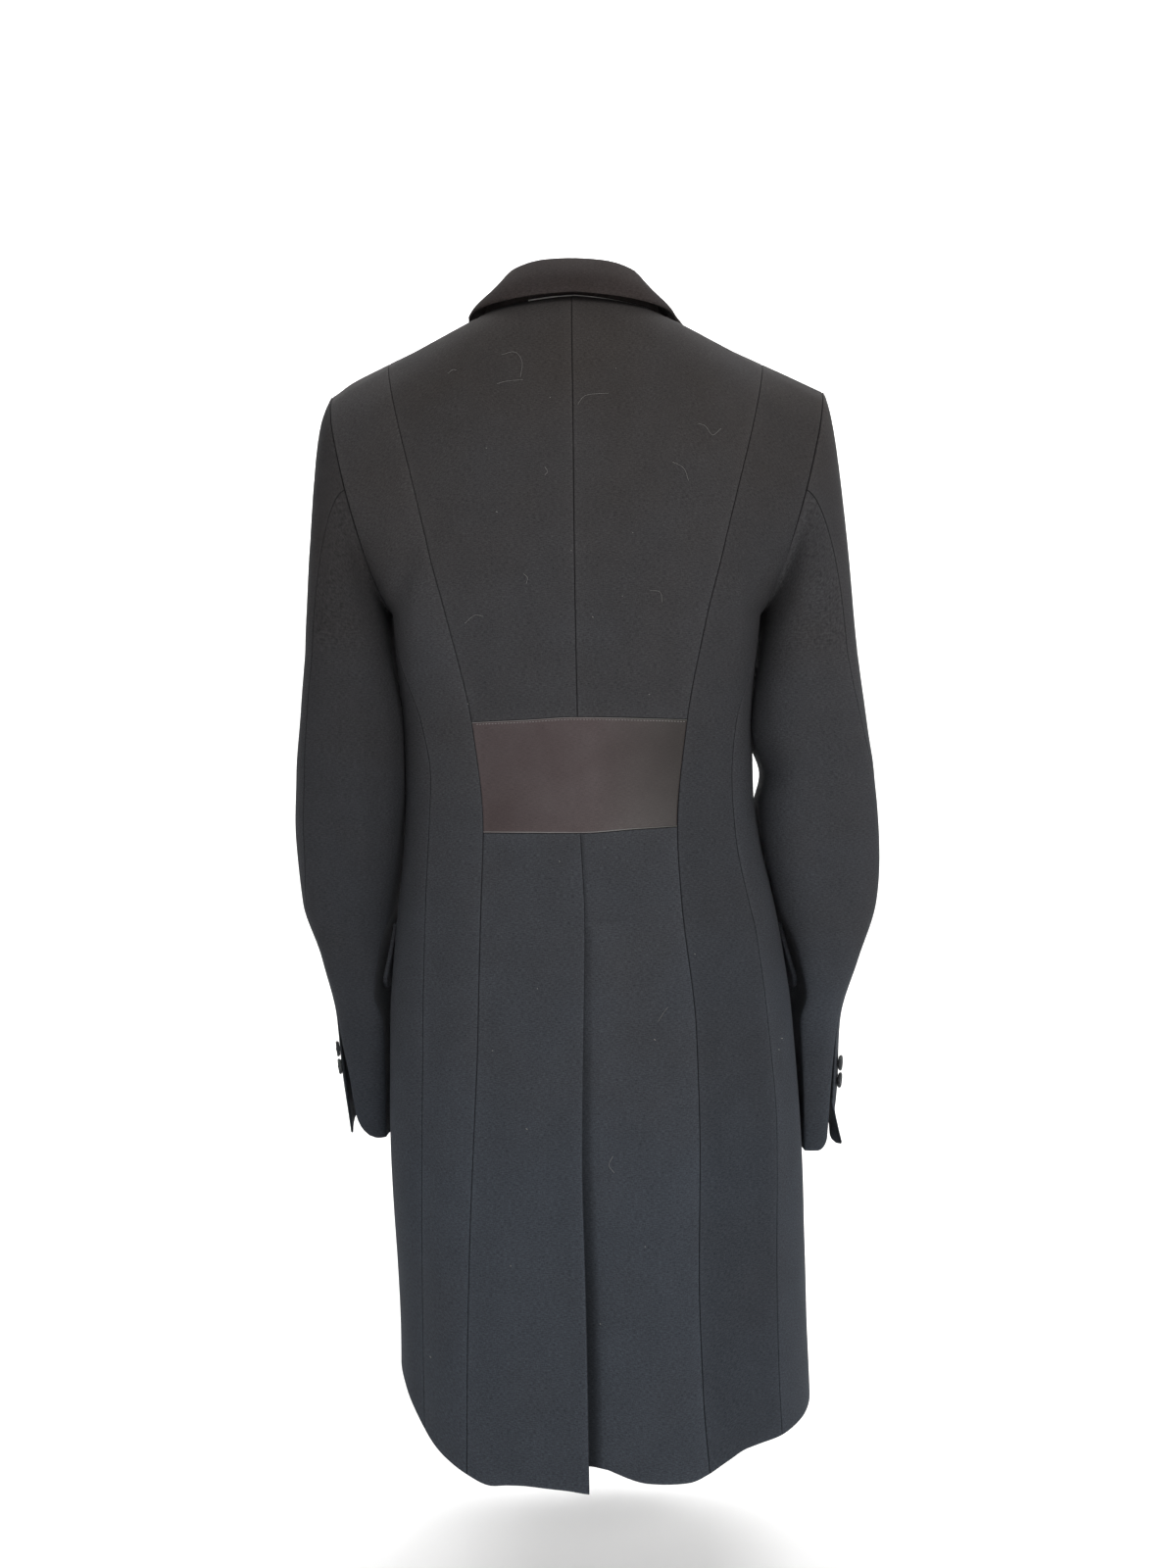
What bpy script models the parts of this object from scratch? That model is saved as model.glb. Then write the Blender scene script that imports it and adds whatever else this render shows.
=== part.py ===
"""Smoking jacket: a tailored jacket held in its worn form, hollow and open at neck, hem and cuffs.

Metres, +Z up.  The front faces -Y and the back +Y.  The origin is the centre of the neck
opening at the height of the shoulder seams.  Side +1 is the wearer's left, side -1 the right.
"""
import math

import bpy
import bmesh
import numpy as np

# ---------------------------------------------------------------- driving sizes
CLOTH = 0.0020            # wall of one layer of interlined cloth
COLLAR_CLOTH = 0.0019     # wall of the collar
SEAM_GAP = 0.0003         # between two neighbouring pieces
LAYER_GAP = 0.0004        # between a piece and the one that lies on it
UNDERARM_Z = -0.250       # level of the underarm point
WAIST_TOP_Z = -0.3465     # upper edge of the satin waist panel
WAIST_LOW_Z = -0.4360     # lower edge of the satin waist panel
VENT_TOP_Z = -0.507       # where the centre-back seam ends and the vent starts
VENT_STEP = 0.006         # height over which the under layer drops behind the upper one
VENT_LAP = 0.034          # how far the right back lies under the left one
HEM_Z = -0.952            # lowest line of the hem, at the centre back
NECK_HALF = {1: 0.085, -1: 0.079}  # half of the neck opening, at each shoulder seam
SEAM_LEAN = 0.0028        # how far the centre-back seam leans to the left at the neck
BACK_NECK_LEVEL = 0.843   # how far up the back line the neck seam crosses it
BLADE_RUN = 0.60          # flatness of the rows at the shoulder blades, part of their width
RIDGE_RUN = 0.35          # and at the shoulder seam
RIDGE_SINK = {1: 0.006, -1: 0.014}  # how much lower each shoulder's inner half is drawn
LAP_DEPTH = CLOTH + 0.0010  # how much deeper an overlapped layer lies
BUTTON_Z = -0.395         # front button
BUTTON_INSET_W = 0.10     # and how far in from the front edge, in panel steps

# The body as level rings, hem to underarm: half width, depth of back and front, middle, and
# the handle length of a quarter ring (0.55 round, 1 square).
TORSO = (
    # z,     half_width, back,  front,  mid_x,   square
    (-0.960, 0.1790, 0.1180, 0.1180, -0.0265, 0.62),
    (-0.860, 0.1781, 0.1170, 0.1200, -0.0240, 0.62),
    (-0.720, 0.1803, 0.1120, 0.1220, -0.0177, 0.62),
    (-0.600, 0.1765, 0.1040, 0.1200, -0.0135, 0.61),
    (-0.520, 0.1680, 0.0950, 0.1140, -0.0100, 0.60),
    (-0.440, 0.1560, 0.0830, 0.1050, -0.0050, 0.60),
    (-0.400, 0.1530, 0.0795, 0.1020, -0.0030, 0.61),
    (-0.345, 0.1535, 0.0815, 0.1030, -0.0015, 0.66),
    (-0.300, 0.1560, 0.0885, 0.1065, 0.0000, 0.75),
    (-0.250, 0.1600, 0.0980, 0.1100, 0.0000, 0.84),
)
# Middle of the back and of the front, from the underarm level (0) to the shoulder ridge (1).
BACK_LINE = (
    # level, y,     z
    (0.00, 0.0980, -0.2500),
    (0.25, 0.1045, -0.1830),
    (0.50, 0.0990, -0.1050),
    (0.70, 0.0830, -0.0360),
    (0.82, 0.0630, 0.0060),
    (0.92, 0.0340, 0.0270),
    (1.00, 0.0000, 0.0320),
)
FRONT_LINE = (
    # level, y,      z
    (0.00, -0.1100, -0.2500),
    (0.25, -0.1120, -0.1850),
    (0.50, -0.1020, -0.1080),
    (0.70, -0.0800, -0.0420),
    (0.82, -0.0580, 0.0000),
    (0.92, -0.0300, 0.0240),
    (1.00, 0.0000, 0.0320),
)
# Armhole edge from underarm (0) to shoulder tip (1), and the handle that gives the panel's
# direction as it reaches the edge.
ARM_BACK = (
    # level, x,    y,      z,       run_x,   run_y,   run_z
    (0.00, 0.1600, 0.0000, -0.2500, 0.0000, -0.0823, 0.0000),
    (0.12, 0.1625, 0.0270, -0.2440, 0.0050, -0.0580, 0.0000),
    (0.28, 0.1740, 0.0490, -0.2150, 0.0190, -0.0380, 0.0000),
    (0.50, 0.1890, 0.0590, -0.1650, 0.0360, -0.0260, -0.0030),
    (0.75, 0.2050, 0.0460, -0.1030, 0.0520, -0.0170, -0.0130),
    (0.90, 0.2135, 0.0230, -0.0655, 0.0620, -0.0080, -0.0225),
    (1.00, 0.2175, 0.0000, -0.0492, 0.0670, 0.0000, -0.0300),
)
ARM_FRONT = (
    # level, x,    y,       z,       run_x,  run_y,  run_z
    (0.00, 0.1600, 0.0000, -0.2500, 0.0000, 0.0924, 0.0000),
    (0.12, 0.1620, -0.0290, -0.2440, 0.0050, 0.0640, 0.0000),
    (0.28, 0.1715, -0.0520, -0.2140, 0.0180, 0.0420, 0.0000),
    (0.50, 0.1850, -0.0610, -0.1640, 0.0340, 0.0280, -0.0030),
    (0.75, 0.2020, -0.0470, -0.1030, 0.0520, 0.0180, -0.0130),
    (0.90, 0.2125, -0.0230, -0.0655, 0.0620, 0.0080, -0.0225),
    (1.00, 0.2175, 0.0000, -0.0492, 0.0670, 0.0000, -0.0300),
)
# Centre-back seam and the vent's edge below it; it hangs nearer upright than the body leans.
CENTRE_SEAM = (
    # z,     x
    (-0.960, -0.0115),
    (-0.860, -0.0100),
    (-0.790, -0.0085),
    (-0.690, -0.0060),
    (-0.600, -0.0070),
    (-0.510, -0.0080),
    (-0.436, -0.0045),
    (-0.345, -0.0018),
    (-0.250, 0.0000),
)
# Seam between centre back and side back, distance from the middle plane on each side.
PRINCESS = (
    # z,     left,   right
    (-0.960, 0.0870, 0.1090),
    (-0.880, 0.0865, 0.1020),
    (-0.790, 0.0845, 0.0990),
    (-0.690, 0.0815, 0.1005),
    (-0.597, 0.0783, 0.0985),
    (-0.490, 0.0768, 0.0867),
    (-0.436, 0.0760, 0.0840),
    (-0.346, 0.0853, 0.0920),
    (-0.260, 0.1048, 0.1070),
    (-0.205, 0.1192, 0.1200),
    (-0.150, 0.1328, 0.1335),
    (-0.090, 0.1485, 0.1490),
    (-0.025, 0.1650, 0.1640),
)
# How much higher the waist panel's upper and lower edges lie, from its right end (-1) by the
# centre seam (0) to its left end (1).
WAIST_EDGE_RISE = (
    # share, upper,  lower
    (-1.00, 0.0037, 0.0048),
    (-0.50, 0.0044, 0.0028),
    (0.00, 0.0050, 0.0000),
    (0.45, 0.0028, 0.0000),
    (1.00, 0.0012, 0.0000),
)
WAIST_RISE_FADE = 0.090   # height above and below the panel over which this fades out
# Seam between side back and front, down from the underarm point.
SIDE_SEAM = (
    # z,     left,   right
    (-0.960, 0.1240, 0.1700),
    (-0.870, 0.1265, 0.1645),
    (-0.770, 0.1270, 0.1625),
    (-0.680, 0.1274, 0.1640),
    (-0.600, 0.1270, 0.1590),
    (-0.520, 0.1262, 0.1500),
    (-0.440, 0.1240, 0.1350),
    (-0.390, 0.1225, 0.1325),
    (-0.345, 0.1300, 0.1360),
    (-0.300, 0.1460, 0.1490),
    (-0.250, 0.1600, 0.1600),
)
# Front edge, from the hem's rounded corner past the button to the lapel's roll line.
FRONT_EDGE = (
    # z,     x from the middle, minus is past it
    (-0.960, 0.1300),
    (-0.935, 0.0820),
    (-0.900, 0.0500),
    (-0.840, 0.0250),
    (-0.740, 0.0050),
    (-0.600, -0.0100),
    (-0.480, -0.0160),
    (-0.390, -0.0160),
    (-0.350, -0.0080),
    (-0.250, 0.0200),
    (-0.150, 0.0450),
    (-0.060, 0.0670),
    (0.010, 0.0845),
    (0.030, 0.0860),
)
# How much higher than HEM_Z the hem lies, from centre back (0) by the side (1) to the front (2).
HEM_RISE = (
    # w,   left,   right
    (0.00, 0.0000, 0.0148),
    (0.10, 0.0005, 0.0062),
    (0.21, 0.0015, 0.0040),
    (0.27, 0.0000, 0.0080),
    (0.33, -0.0028, 0.0145),
    (0.41, 0.0015, 0.0225),
    (0.50, 0.0093, 0.0238),
    (0.60, 0.0205, 0.0240),
    (0.73, 0.0370, 0.0240),
    (0.85, 0.0500, 0.0255),
    (1.00, 0.0550, 0.0270),
    (1.40, 0.0520, 0.0290),
    (2.00, 0.0450, 0.0320),
)
HEM_SHIFT_TOP = -0.560    # the hem's rise fades out at this height

# The two sleeves differ in pose.  Rings of the sleeve tube, cuff to upper arm: its middle, how
# far it reaches outwards, inwards and fore and aft, and where its two seams lie.
SLEEVE_TUBE = {
    1: (
        # z,     mid_x,  mid_y,   outer,  inner,  half_y, hind,  fore
        (-0.709, 0.1845, -0.0545, 0.0210, 0.0280, 0.0570, 0.328, 0.80),
        (-0.655, 0.1870, -0.0500, 0.0262, 0.0290, 0.0560, 0.350, 0.80),
        (-0.605, 0.1880, -0.0410, 0.0290, 0.0300, 0.0560, 0.388, 0.80),
        (-0.550, 0.1965, -0.0310, 0.0317, 0.0360, 0.0570, 0.395, 0.80),
        (-0.500, 0.2060, -0.0210, 0.0372, 0.0460, 0.0585, 0.360, 0.80),
        (-0.450, 0.2060, -0.0120, 0.0398, 0.0520, 0.0610, 0.335, 0.79),
        (-0.390, 0.2035, -0.0050, 0.0408, 0.0540, 0.0640, 0.333, 0.78),
        (-0.330, 0.2020, -0.0010, 0.0370, 0.0500, 0.0660, 0.335, 0.77),
        (-0.285, 0.2010, 0.0010, 0.0335, 0.0420, 0.0670, 0.330, 0.76),
    ),
    -1: (
        # z,     mid_x,  mid_y,   outer,  inner,  half_y, hind,  fore
        (-0.720, 0.2130, -0.0550, 0.0185, 0.0300, 0.0570, 0.326, 0.80),
        (-0.665, 0.2140, -0.0500, 0.0238, 0.0310, 0.0560, 0.332, 0.80),
        (-0.605, 0.2120, -0.0410, 0.0265, 0.0310, 0.0560, 0.360, 0.80),
        (-0.550, 0.2200, -0.0310, 0.0320, 0.0380, 0.0570, 0.430, 0.80),
        (-0.500, 0.2245, -0.0210, 0.0412, 0.0560, 0.0585, 0.445, 0.80),
        (-0.450, 0.2200, -0.0120, 0.0470, 0.0620, 0.0610, 0.425, 0.79),
        (-0.415, 0.2160, -0.0080, 0.0480, 0.0580, 0.0625, 0.410, 0.785),
        (-0.385, 0.2118, -0.0050, 0.0482, 0.0480, 0.0640, 0.393, 0.78),
        (-0.350, 0.2085, -0.0020, 0.0452, 0.0560, 0.0655, 0.368, 0.775),
        (-0.285, 0.2050, 0.0010, 0.0400, 0.0460, 0.0670, 0.330, 0.76),
    ),
}
# Room left between the body and the sleeve where the arm rests against the side.
SLEEVE_ROOM = (
    # z,     room
    (-0.740, 0.0040),
    (-0.605, 0.0060),
    (-0.578, 0.0150),
    (-0.535, 0.0120),
    (-0.500, 0.0035),
    (-0.330, 0.0025),
    (-0.285, 0.0040),
)
# Columns of the two sleeve pieces where they meet the armhole, one for each panel row there.
HEAD_COLUMNS = {
    "top": (0.28, 0.34, 0.395, 0.44, 0.475, 0.50, 0.525, 0.56, 0.605, 0.66, 0.72, 0.78),
    "under": (-0.22, -0.19, -0.16, -0.10, -0.05, 0.0, 0.05, 0.10, 0.16, 0.22, 0.25, 0.28),
}
# How far the sleeve follows the shoulder on before it turns down, and the height over which
# it is upright again.
SLEEVE_HEAD = (
    # q,     reach,  upright, outward
    (0.00, 0.0160, 0.0120, 0.00),
    (0.12, 0.0130, 0.0200, 0.15),
    (0.25, 0.0140, 0.0500, 0.60),
    (0.50, 0.0130, 0.1100, 0.00),
    (0.75, 0.0140, 0.0500, 0.60),
    (0.88, 0.0130, 0.0200, 0.15),
    (1.00, 0.0160, 0.0120, 0.00),
)
SLEEVE_ROUND = 0.82       # 1 is an ellipse, less is flatter sided
SLEEVE_ROUND_IN = 0.60    # and on the side that lies against the body
SLEEVE_LEAN = {1: 0.04, -1: 0.11}  # slope of each upper arm's outer side, where the head ends
VENT_LENGTH = 0.110       # open vent of each cuff
VENT_SPREAD = {1: 0.070, -1: 0.030}  # how far round each vent's edges part at the cuff edge
VENT_FLARE = {1: 0.0010, -1: 0.0125}  # how far the top sleeve's edge turns outwards there
FLARE_LENGTH = 0.040      # over this height above the cuff edge
FLARE_WIDTH = 0.030       # and this part of the way round
CUFF_ROW = 0.028          # last row of cells above the cuff edge
CUFF_RISE = {1: (0.490, 0.0070), -1: (0.440, 0.0160)}  # place round, and how much it is higher
CUFF_RISE_WIDTH = 0.060
CUFF_CORNER = {
    # rounding of the corner beside the vent: column from the edge, part of that row cut away
    (1, "top"): ((0, 0.15), (1, 0.03)),
    (1, "under"): ((0, 0.86), (1, 0.30)),
    (-1, "top"): ((0, 0.22), (1, 0.00)),
    (-1, "under"): ((0, 0.32), (1, 0.03)),
}

# Collar by station: 0 centre back, 1 shoulder seam, 2 gorge.  Height of the stand, how far the
# fold leans into the neck, how far the fall reaches over the body and how far it stands off it.
COLLAR = (
    # station, stand, lean,   reach,  stand_off
    (0.00, 0.0285, 0.0060, 0.0112, 0.0100),
    (0.35, 0.0300, 0.0060, 0.0116, 0.0092),
    (0.60, 0.0282, 0.0050, 0.0112, 0.0078),
    (0.80, 0.0185, 0.0030, 0.0095, 0.0062),
    (1.00, 0.0110, 0.0010, 0.0085, 0.0046),
    (1.20, 0.0050, 0.0005, 0.0130, 0.0040),
    (1.50, 0.0015, 0.0000, 0.0240, 0.0036),
    (2.00, 0.0000, 0.0000, 0.0350, 0.0034),
)
GORGE_LEVEL = 0.76        # where the collar ends on the front, part of the way to the shoulder
FOLD_HALF = 0.0028        # half of the fold's thickness at the top of the collar
FOLD_DROP = 0.0014        # how much lower the fold's two shoulders lie than its top
FALL_BELLY = 0.0035       # how far the fall bellies out between its edge and the fold
FLAT_COLLAR_RISE = 0.0034  # height of the collar over the front, where it has no stand
FLAT_COLLAR_BELLY = 0.0012
FOOT_INSET = 0.0009       # the stand's foot lies this far inside the neck seam
FOOT_RISE = 0.0005
FALL_ROWS = 7             # rows of the collar that belong to its fall, the rest to its stand

# Lapel facing on each front, from its foot up to the peak: how far out its edge lies.
LAPEL = (
    # inner_z, outer_x, outer_z
    (-0.318, 0.0200, -0.316),
    (-0.290, 0.0440, -0.284),
    (-0.245, 0.0690, -0.235),
    (-0.195, 0.0920, -0.182),
    (-0.145, 0.1120, -0.132),
    (-0.100, 0.1290, -0.092),
    (-0.066, 0.1440, -0.066),
)
LAPEL_TOP_Z = -0.052      # gorge end of the lapel's top edge, at the roll line
LAPEL_RISE = CLOTH + 0.0007  # outer face of the facing above the front panel
LAPEL_BELLY = 0.0012

# Pocket flap on each hip.
FLAP_TOP_Z = -0.520
FLAP_LOW_Z = -0.578
FLAP_REAR_W = 1.00        # rear and fore ends, as steps round the body from the side
FLAP_FORE_W = 1.56
FLAP_THICK = 0.0036       # two layers turned together
FLAP_CORNER = 0.010       # rounding of its lower corners
FLAP_FLARE = 0.0055       # how far the rear lower corner stands off the body
FLAP_FLARE_FORE = 0.0030

BUTTON_SIZES = {
    # kind: radius, thickness
    "front": (0.0105, 0.0036),
    "cuff": (0.0070, 0.0030),
}
CUFF_BUTTON_STEP = 0.0155  # spacing of the cuff buttons
CUFF_BUTTON_FIRST = 0.060  # lowest one above the cuff edge
CUFF_BUTTON_INSET = 0.055  # from the hind seam, as a part of the way round the sleeve

BACK_CELLS = 5            # cells across one centre-back panel
SIDE_CELLS = 5
FRONT_CELLS = 12
MATERIALS = {
    "cloth": ((0.045, 0.044, 0.048, 1.0), 0.85),
    "satin": ((0.065, 0.052, 0.053, 1.0), 0.38),
    "button": ((0.020, 0.019, 0.020, 1.0), 0.30),
}


# ---------------------------------------------------------------- rows of the panels
def levels_between(low, high, parts):
    return [low + (high - low) * i / parts for i in range(parts)]


HEM_LEVELS = [z - UNDERARM_Z for z in (HEM_Z, -0.938, -0.920, -0.895)]
SKIRT_LEVELS = (
    HEM_LEVELS
    + levels_between(-0.860 - UNDERARM_Z, VENT_TOP_Z - VENT_STEP - UNDERARM_Z, 6)
    + levels_between(VENT_TOP_Z - VENT_STEP - UNDERARM_Z, VENT_TOP_Z - UNDERARM_Z, 1)
    + levels_between(VENT_TOP_Z - UNDERARM_Z, WAIST_LOW_Z - UNDERARM_Z, 2)
)
PANEL_LEVELS = levels_between(WAIST_LOW_Z - UNDERARM_Z, WAIST_TOP_Z - UNDERARM_Z, 3)
CHEST_LEVELS = levels_between(WAIST_TOP_Z - UNDERARM_Z, 0.0, 3)
UPPER_LEVELS = [0.0, 0.10, 0.20, 0.32, 0.44, 0.56, 0.68, 0.79, 0.88, 0.95, 1.0]
HEAD_STEPS = [0.0, 0.07, 0.16, 0.28, 0.44, 0.62, 0.81]  # rows of the sleeve head


# ---------------------------------------------------------------- curves
def smooth(rows, key):
    """Smooth curve through a table whose first column is the key, with no overshoot."""
    table = np.array(rows, dtype=float)
    knots = table[:, 0]
    values = table[:, 1:]
    step = np.diff(knots)[:, None]
    slope = np.diff(values, axis=0) / step
    tangent = np.zeros_like(values)
    both = slope[:-1] * slope[1:]
    total = slope[:-1] + slope[1:]
    total = np.where(np.abs(total) < 1e-12, 1.0, total)
    tangent[1:-1] = np.where(both > 0.0, 2.0 * both / total, 0.0)
    tangent[0] = slope[0]
    tangent[-1] = slope[-1]
    key = np.clip(np.asarray(key, dtype=float), knots[0], knots[-1])
    i = np.clip(np.searchsorted(knots, key, side="right") - 1, 0, len(knots) - 2)
    width = step[i, 0][..., None]
    t = ((key - knots[i])[..., None]) / width
    a = values[i] * (2 * t ** 3 - 3 * t ** 2 + 1)
    b = tangent[i] * width * (t ** 3 - 2 * t ** 2 + t)
    c = values[i + 1] * (3 * t ** 2 - 2 * t ** 3)
    d = tangent[i + 1] * width * (t ** 3 - t ** 2)
    return a + b + c + d


def ease(t):
    t = np.clip(t, 0.0, 1.0)
    return t * t * (3.0 - 2.0 * t)


def bezier(p0, p1, p2, p3, t):
    t = np.asarray(t)[..., None]
    return (p0 * (1 - t) ** 3 + 3 * p1 * t * (1 - t) ** 2
            + 3 * p2 * t * t * (1 - t) + p3 * t ** 3)


def xyz(x, y, z):
    return np.stack(np.broadcast_arrays(x, y, z), axis=-1)


def unit(v):
    return v / np.maximum(np.linalg.norm(v, axis=-1, keepdims=True), 1e-12)


# ---------------------------------------------------------------- body surface
def hem_rise(side, w, z):
    column = 0 if side > 0 else 1
    fade = ease((HEM_SHIFT_TOP - z) / (HEM_SHIFT_TOP - HEM_Z))
    return smooth(HEM_RISE, w)[..., column] * fade


def row_spread(square, rise):
    """Flatness of a row: the underarm ring's, then the blades', then the shoulder seam's."""
    low = square + (BLADE_RUN - square) * ease(rise / 0.3)
    return low + (RIDGE_RUN - BLADE_RUN) * ease((rise - 0.55) / 0.45)


def torso(side, w, level):
    """Outer face of the body.

    w runs 0 at centre back, 1 at the side, 2 at centre front.  A level below 0 is metres
    under the underarm; 0 to 1 is the part of the way up to the shoulder ridge.
    """
    w, level = np.broadcast_arrays(np.asarray(w, float), np.asarray(level, float))
    back = w <= 1.0
    s = np.where(back, w, 2.0 - w)
    z = UNDERARM_Z + np.minimum(level, 0.0)
    z = z + hem_rise(side, w, z)
    ring = smooth(TORSO, z)
    half = ring[..., 0] * side
    depth = np.where(back, ring[..., 1], -ring[..., 2])
    mid = ring[..., 3]
    square = ring[..., 4]
    low = bezier(xyz(mid, depth, z), xyz(mid + square * half, depth, z),
                 xyz(mid + half, square * depth, z), xyz(mid + half, 0.0, z), s)
    rise = np.maximum(level, 0.0)
    line = np.where(back[..., None], smooth(BACK_LINE, rise), smooth(FRONT_LINE, rise))
    arm = np.where(back[..., None], smooth(ARM_BACK, rise), smooth(ARM_FRONT, rise))
    start = xyz(0.0, line[..., 0], line[..., 1])
    end = xyz(side * arm[..., 0], arm[..., 1], arm[..., 2])
    run = xyz(side * arm[..., 3], arm[..., 4], arm[..., 5])
    sink = RIDGE_SINK[side] * ease((rise - 0.7) / 0.3)
    first = start + xyz(row_spread(square, rise) * end[..., 0], 0.0, -sink)
    high = bezier(start, first, end - run, end, s)
    return np.where((level > 0.0)[..., None], high, low)


def torso_normal(side, w, level):
    """Unit normal of the body's outer face, pointing away from the wearer."""
    w, level = np.broadcast_arrays(np.asarray(w, float), np.asarray(level, float))
    dw = 0.004
    w0 = np.where(w <= 1.0, np.clip(w - dw, -1.0, 1.0), np.clip(w - dw, 1.0001, 3.0))
    w1 = np.where(w <= 1.0, np.clip(w + dw, -1.0, 1.0), np.clip(w + dw, 1.0001, 3.0))
    across = torso(side, w1, level) - torso(side, w0, level)
    dl = np.where(level > 0.0, 0.004, 0.002)
    up = torso(side, w, np.clip(level + dl, -1.0, 1.0)) - torso(side, w, level - dl)
    normal = unit(np.cross(up, across)) * side
    # Back and front meet upright along the shoulder seam.
    normal[..., 1] *= np.clip((1.0 - level) / 0.06, 0.0, 1.0)
    return unit(normal)


def w_on_line(side, column, table, level, low, high):
    """Where a seam, given as distance from the middle plane by height, crosses each level."""
    level = np.asarray(level, float)
    a = np.full_like(level, low)
    b = np.full_like(level, high)
    for _ in range(40):
        m = 0.5 * (a + b)
        p = torso(side, m, level)
        target = smooth(table, p[..., 2])[..., column]
        inside = side * p[..., 0] < target
        if low < 1.0:
            a = np.where(inside, m, a)
            b = np.where(inside, b, m)
        else:
            a = np.where(inside, a, m)
            b = np.where(inside, m, b)
    return 0.5 * (a + b)


def centre_w(side, level):
    """Where the centre-back seam runs, a little to one side of the middle of the back."""
    rise = np.maximum(level, 0.0)
    z = UNDERARM_Z + np.minimum(level, 0.0)
    ring = smooth(TORSO, z)
    off = smooth(CENTRE_SEAM, z)[..., 0] - ring[..., 3] + SEAM_LEAN * rise
    reach = np.where(rise > 0.0, smooth(ARM_BACK, rise)[..., 0], ring[..., 0])
    return side * off / (3 * row_spread(ring[..., 4], rise) * reach)


def waist_rise(side, share, level):
    """How much higher a place of the centre back lies, within and beside the waist panel."""
    edges = smooth(WAIST_EDGE_RISE, side * share)
    top = WAIST_TOP_Z - UNDERARM_Z
    low = WAIST_LOW_Z - UNDERARM_Z
    t = np.clip((level - low) / (top - low), 0.0, 1.0)
    away = np.maximum(level - top, low - level)
    fade = 1.0 - np.clip(away / WAIST_RISE_FADE, 0.0, 1.0)
    return (edges[..., 0] * t + edges[..., 1] * (1.0 - t)) * fade


def centre_back(side, levels, share):
    """Places of the centre back between its middle seam (share 0) and its outer seam (1)."""
    share = np.asarray(share, float)[None, :]
    level = np.asarray(levels, float)[:, None] + 0 * share
    level = level + waist_rise(side, share, level)
    w = centre_w(side, level) * (1 - share) + princess_w(side, level) * share
    return w, level


def column_of(side):
    return 0 if side > 0 else 1


def princess_w(side, level):
    return w_on_line(side, column_of(side), PRINCESS, level, 0.0, 1.0)


def side_seam_w(side, level):
    """Side seam below the underarm, and the armhole edge above it."""
    level = np.asarray(level, float)
    found = w_on_line(side, column_of(side), SIDE_SEAM, np.minimum(level, 0.0), 0.0, 1.0)
    return np.where(level >= 0.0, 1.0, found)


def front_edge_w(side, level):
    return w_on_line(side, 0, FRONT_EDGE_WORLD[side], level, 1.0, 2.3)


def front_edge_table(side):
    """The front edge measured from the middle plane, with the body's lean added."""
    rows = []
    for z, x in FRONT_EDGE:
        lean = float(smooth(TORSO, min(z, UNDERARM_Z))[3])
        rows.append((z, x + side * lean))
    return tuple(rows)


FRONT_EDGE_WORLD = {1: front_edge_table(1), -1: front_edge_table(-1)}


# ---------------------------------------------------------------- solids
def clear_scene():
    for obj in list(bpy.data.objects):
        bpy.data.objects.remove(obj, do_unlink=True)


def material(name):
    mat = bpy.data.materials.get(name)
    if mat:
        return mat
    colour, rough = MATERIALS[name]
    mat = bpy.data.materials.new(name)
    mat.use_nodes = True
    shader = mat.node_tree.nodes["Principled BSDF"]
    shader.inputs["Base Color"].default_value = colour
    shader.inputs["Roughness"].default_value = rough
    mat.diffuse_color = colour
    return mat


def add_mesh(name, verts, faces, slot):
    mesh = bpy.data.meshes.new(name)
    mesh.from_pydata([tuple(float(c) for c in v) for v in verts], [], faces)
    obj = bpy.data.objects.new(name, mesh)
    bpy.context.scene.collection.objects.link(obj)
    mesh.materials.append(material(slot))
    bm = bmesh.new()
    bm.from_mesh(mesh)
    bmesh.ops.triangulate(bm, faces=bm.faces[:])
    bmesh.ops.recalc_face_normals(bm, faces=bm.faces[:])
    bm.to_mesh(mesh)
    bm.free()
    return obj


def shell(name, outer, normal, slot, thick=CLOTH, keep=None):
    """Closed wall from a grid of outer points, with the inner points one thickness behind."""
    rows, cols = outer.shape[:2]
    inner = outer - normal * np.asarray(thick)[..., None]
    if keep is None:
        keep = np.ones((rows - 1, cols - 1), dtype=bool)
    count = rows * cols
    used = {}
    verts = []

    def index(layer, r, c):
        key = layer * count + r * cols + c
        if key not in used:
            used[key] = len(verts)
            verts.append((outer, inner)[layer][r, c])
        return used[key]

    faces = []
    border = {}
    for r in range(rows - 1):
        for c in range(cols - 1):
            if not keep[r, c]:
                continue
            ring = ((r, c), (r, c + 1), (r + 1, c + 1), (r + 1, c))
            faces.append([index(0, *p) for p in ring])
            faces.append([index(1, *p) for p in reversed(ring)])
            for a, b in zip(ring, ring[1:] + ring[:1]):
                if (b, a) in border:
                    del border[(b, a)]
                else:
                    border[(a, b)] = True
    for a, b in border:
        faces.append([index(0, *b), index(0, *a), index(1, *a), index(1, *b)])
    return add_mesh(name, verts, faces, slot)


def pull(points, top=True, bottom=True, left=True, right=True):
    """Draw the chosen borders of a grid back by half of the seam gap."""
    out = points.copy()
    half = SEAM_GAP / 2
    if left:
        out[:, 0] += unit(points[:, 1] - points[:, 0]) * half
    if right:
        out[:, -1] += unit(points[:, -2] - points[:, -1]) * half
    if bottom:
        out[0] += unit(points[1] - points[0]) * half
    if top:
        out[-1] += unit(points[-2] - points[-1]) * half
    return out


def grid(side, levels, w_from, w_to, cells):
    level = np.array(levels)[:, None] + np.zeros((1, cells + 1))
    share = np.linspace(0.0, 1.0, cells + 1)[None, :]
    w = np.asarray(w_from)[:, None] * (1 - share) + np.asarray(w_to)[:, None] * share
    return w, level


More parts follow.
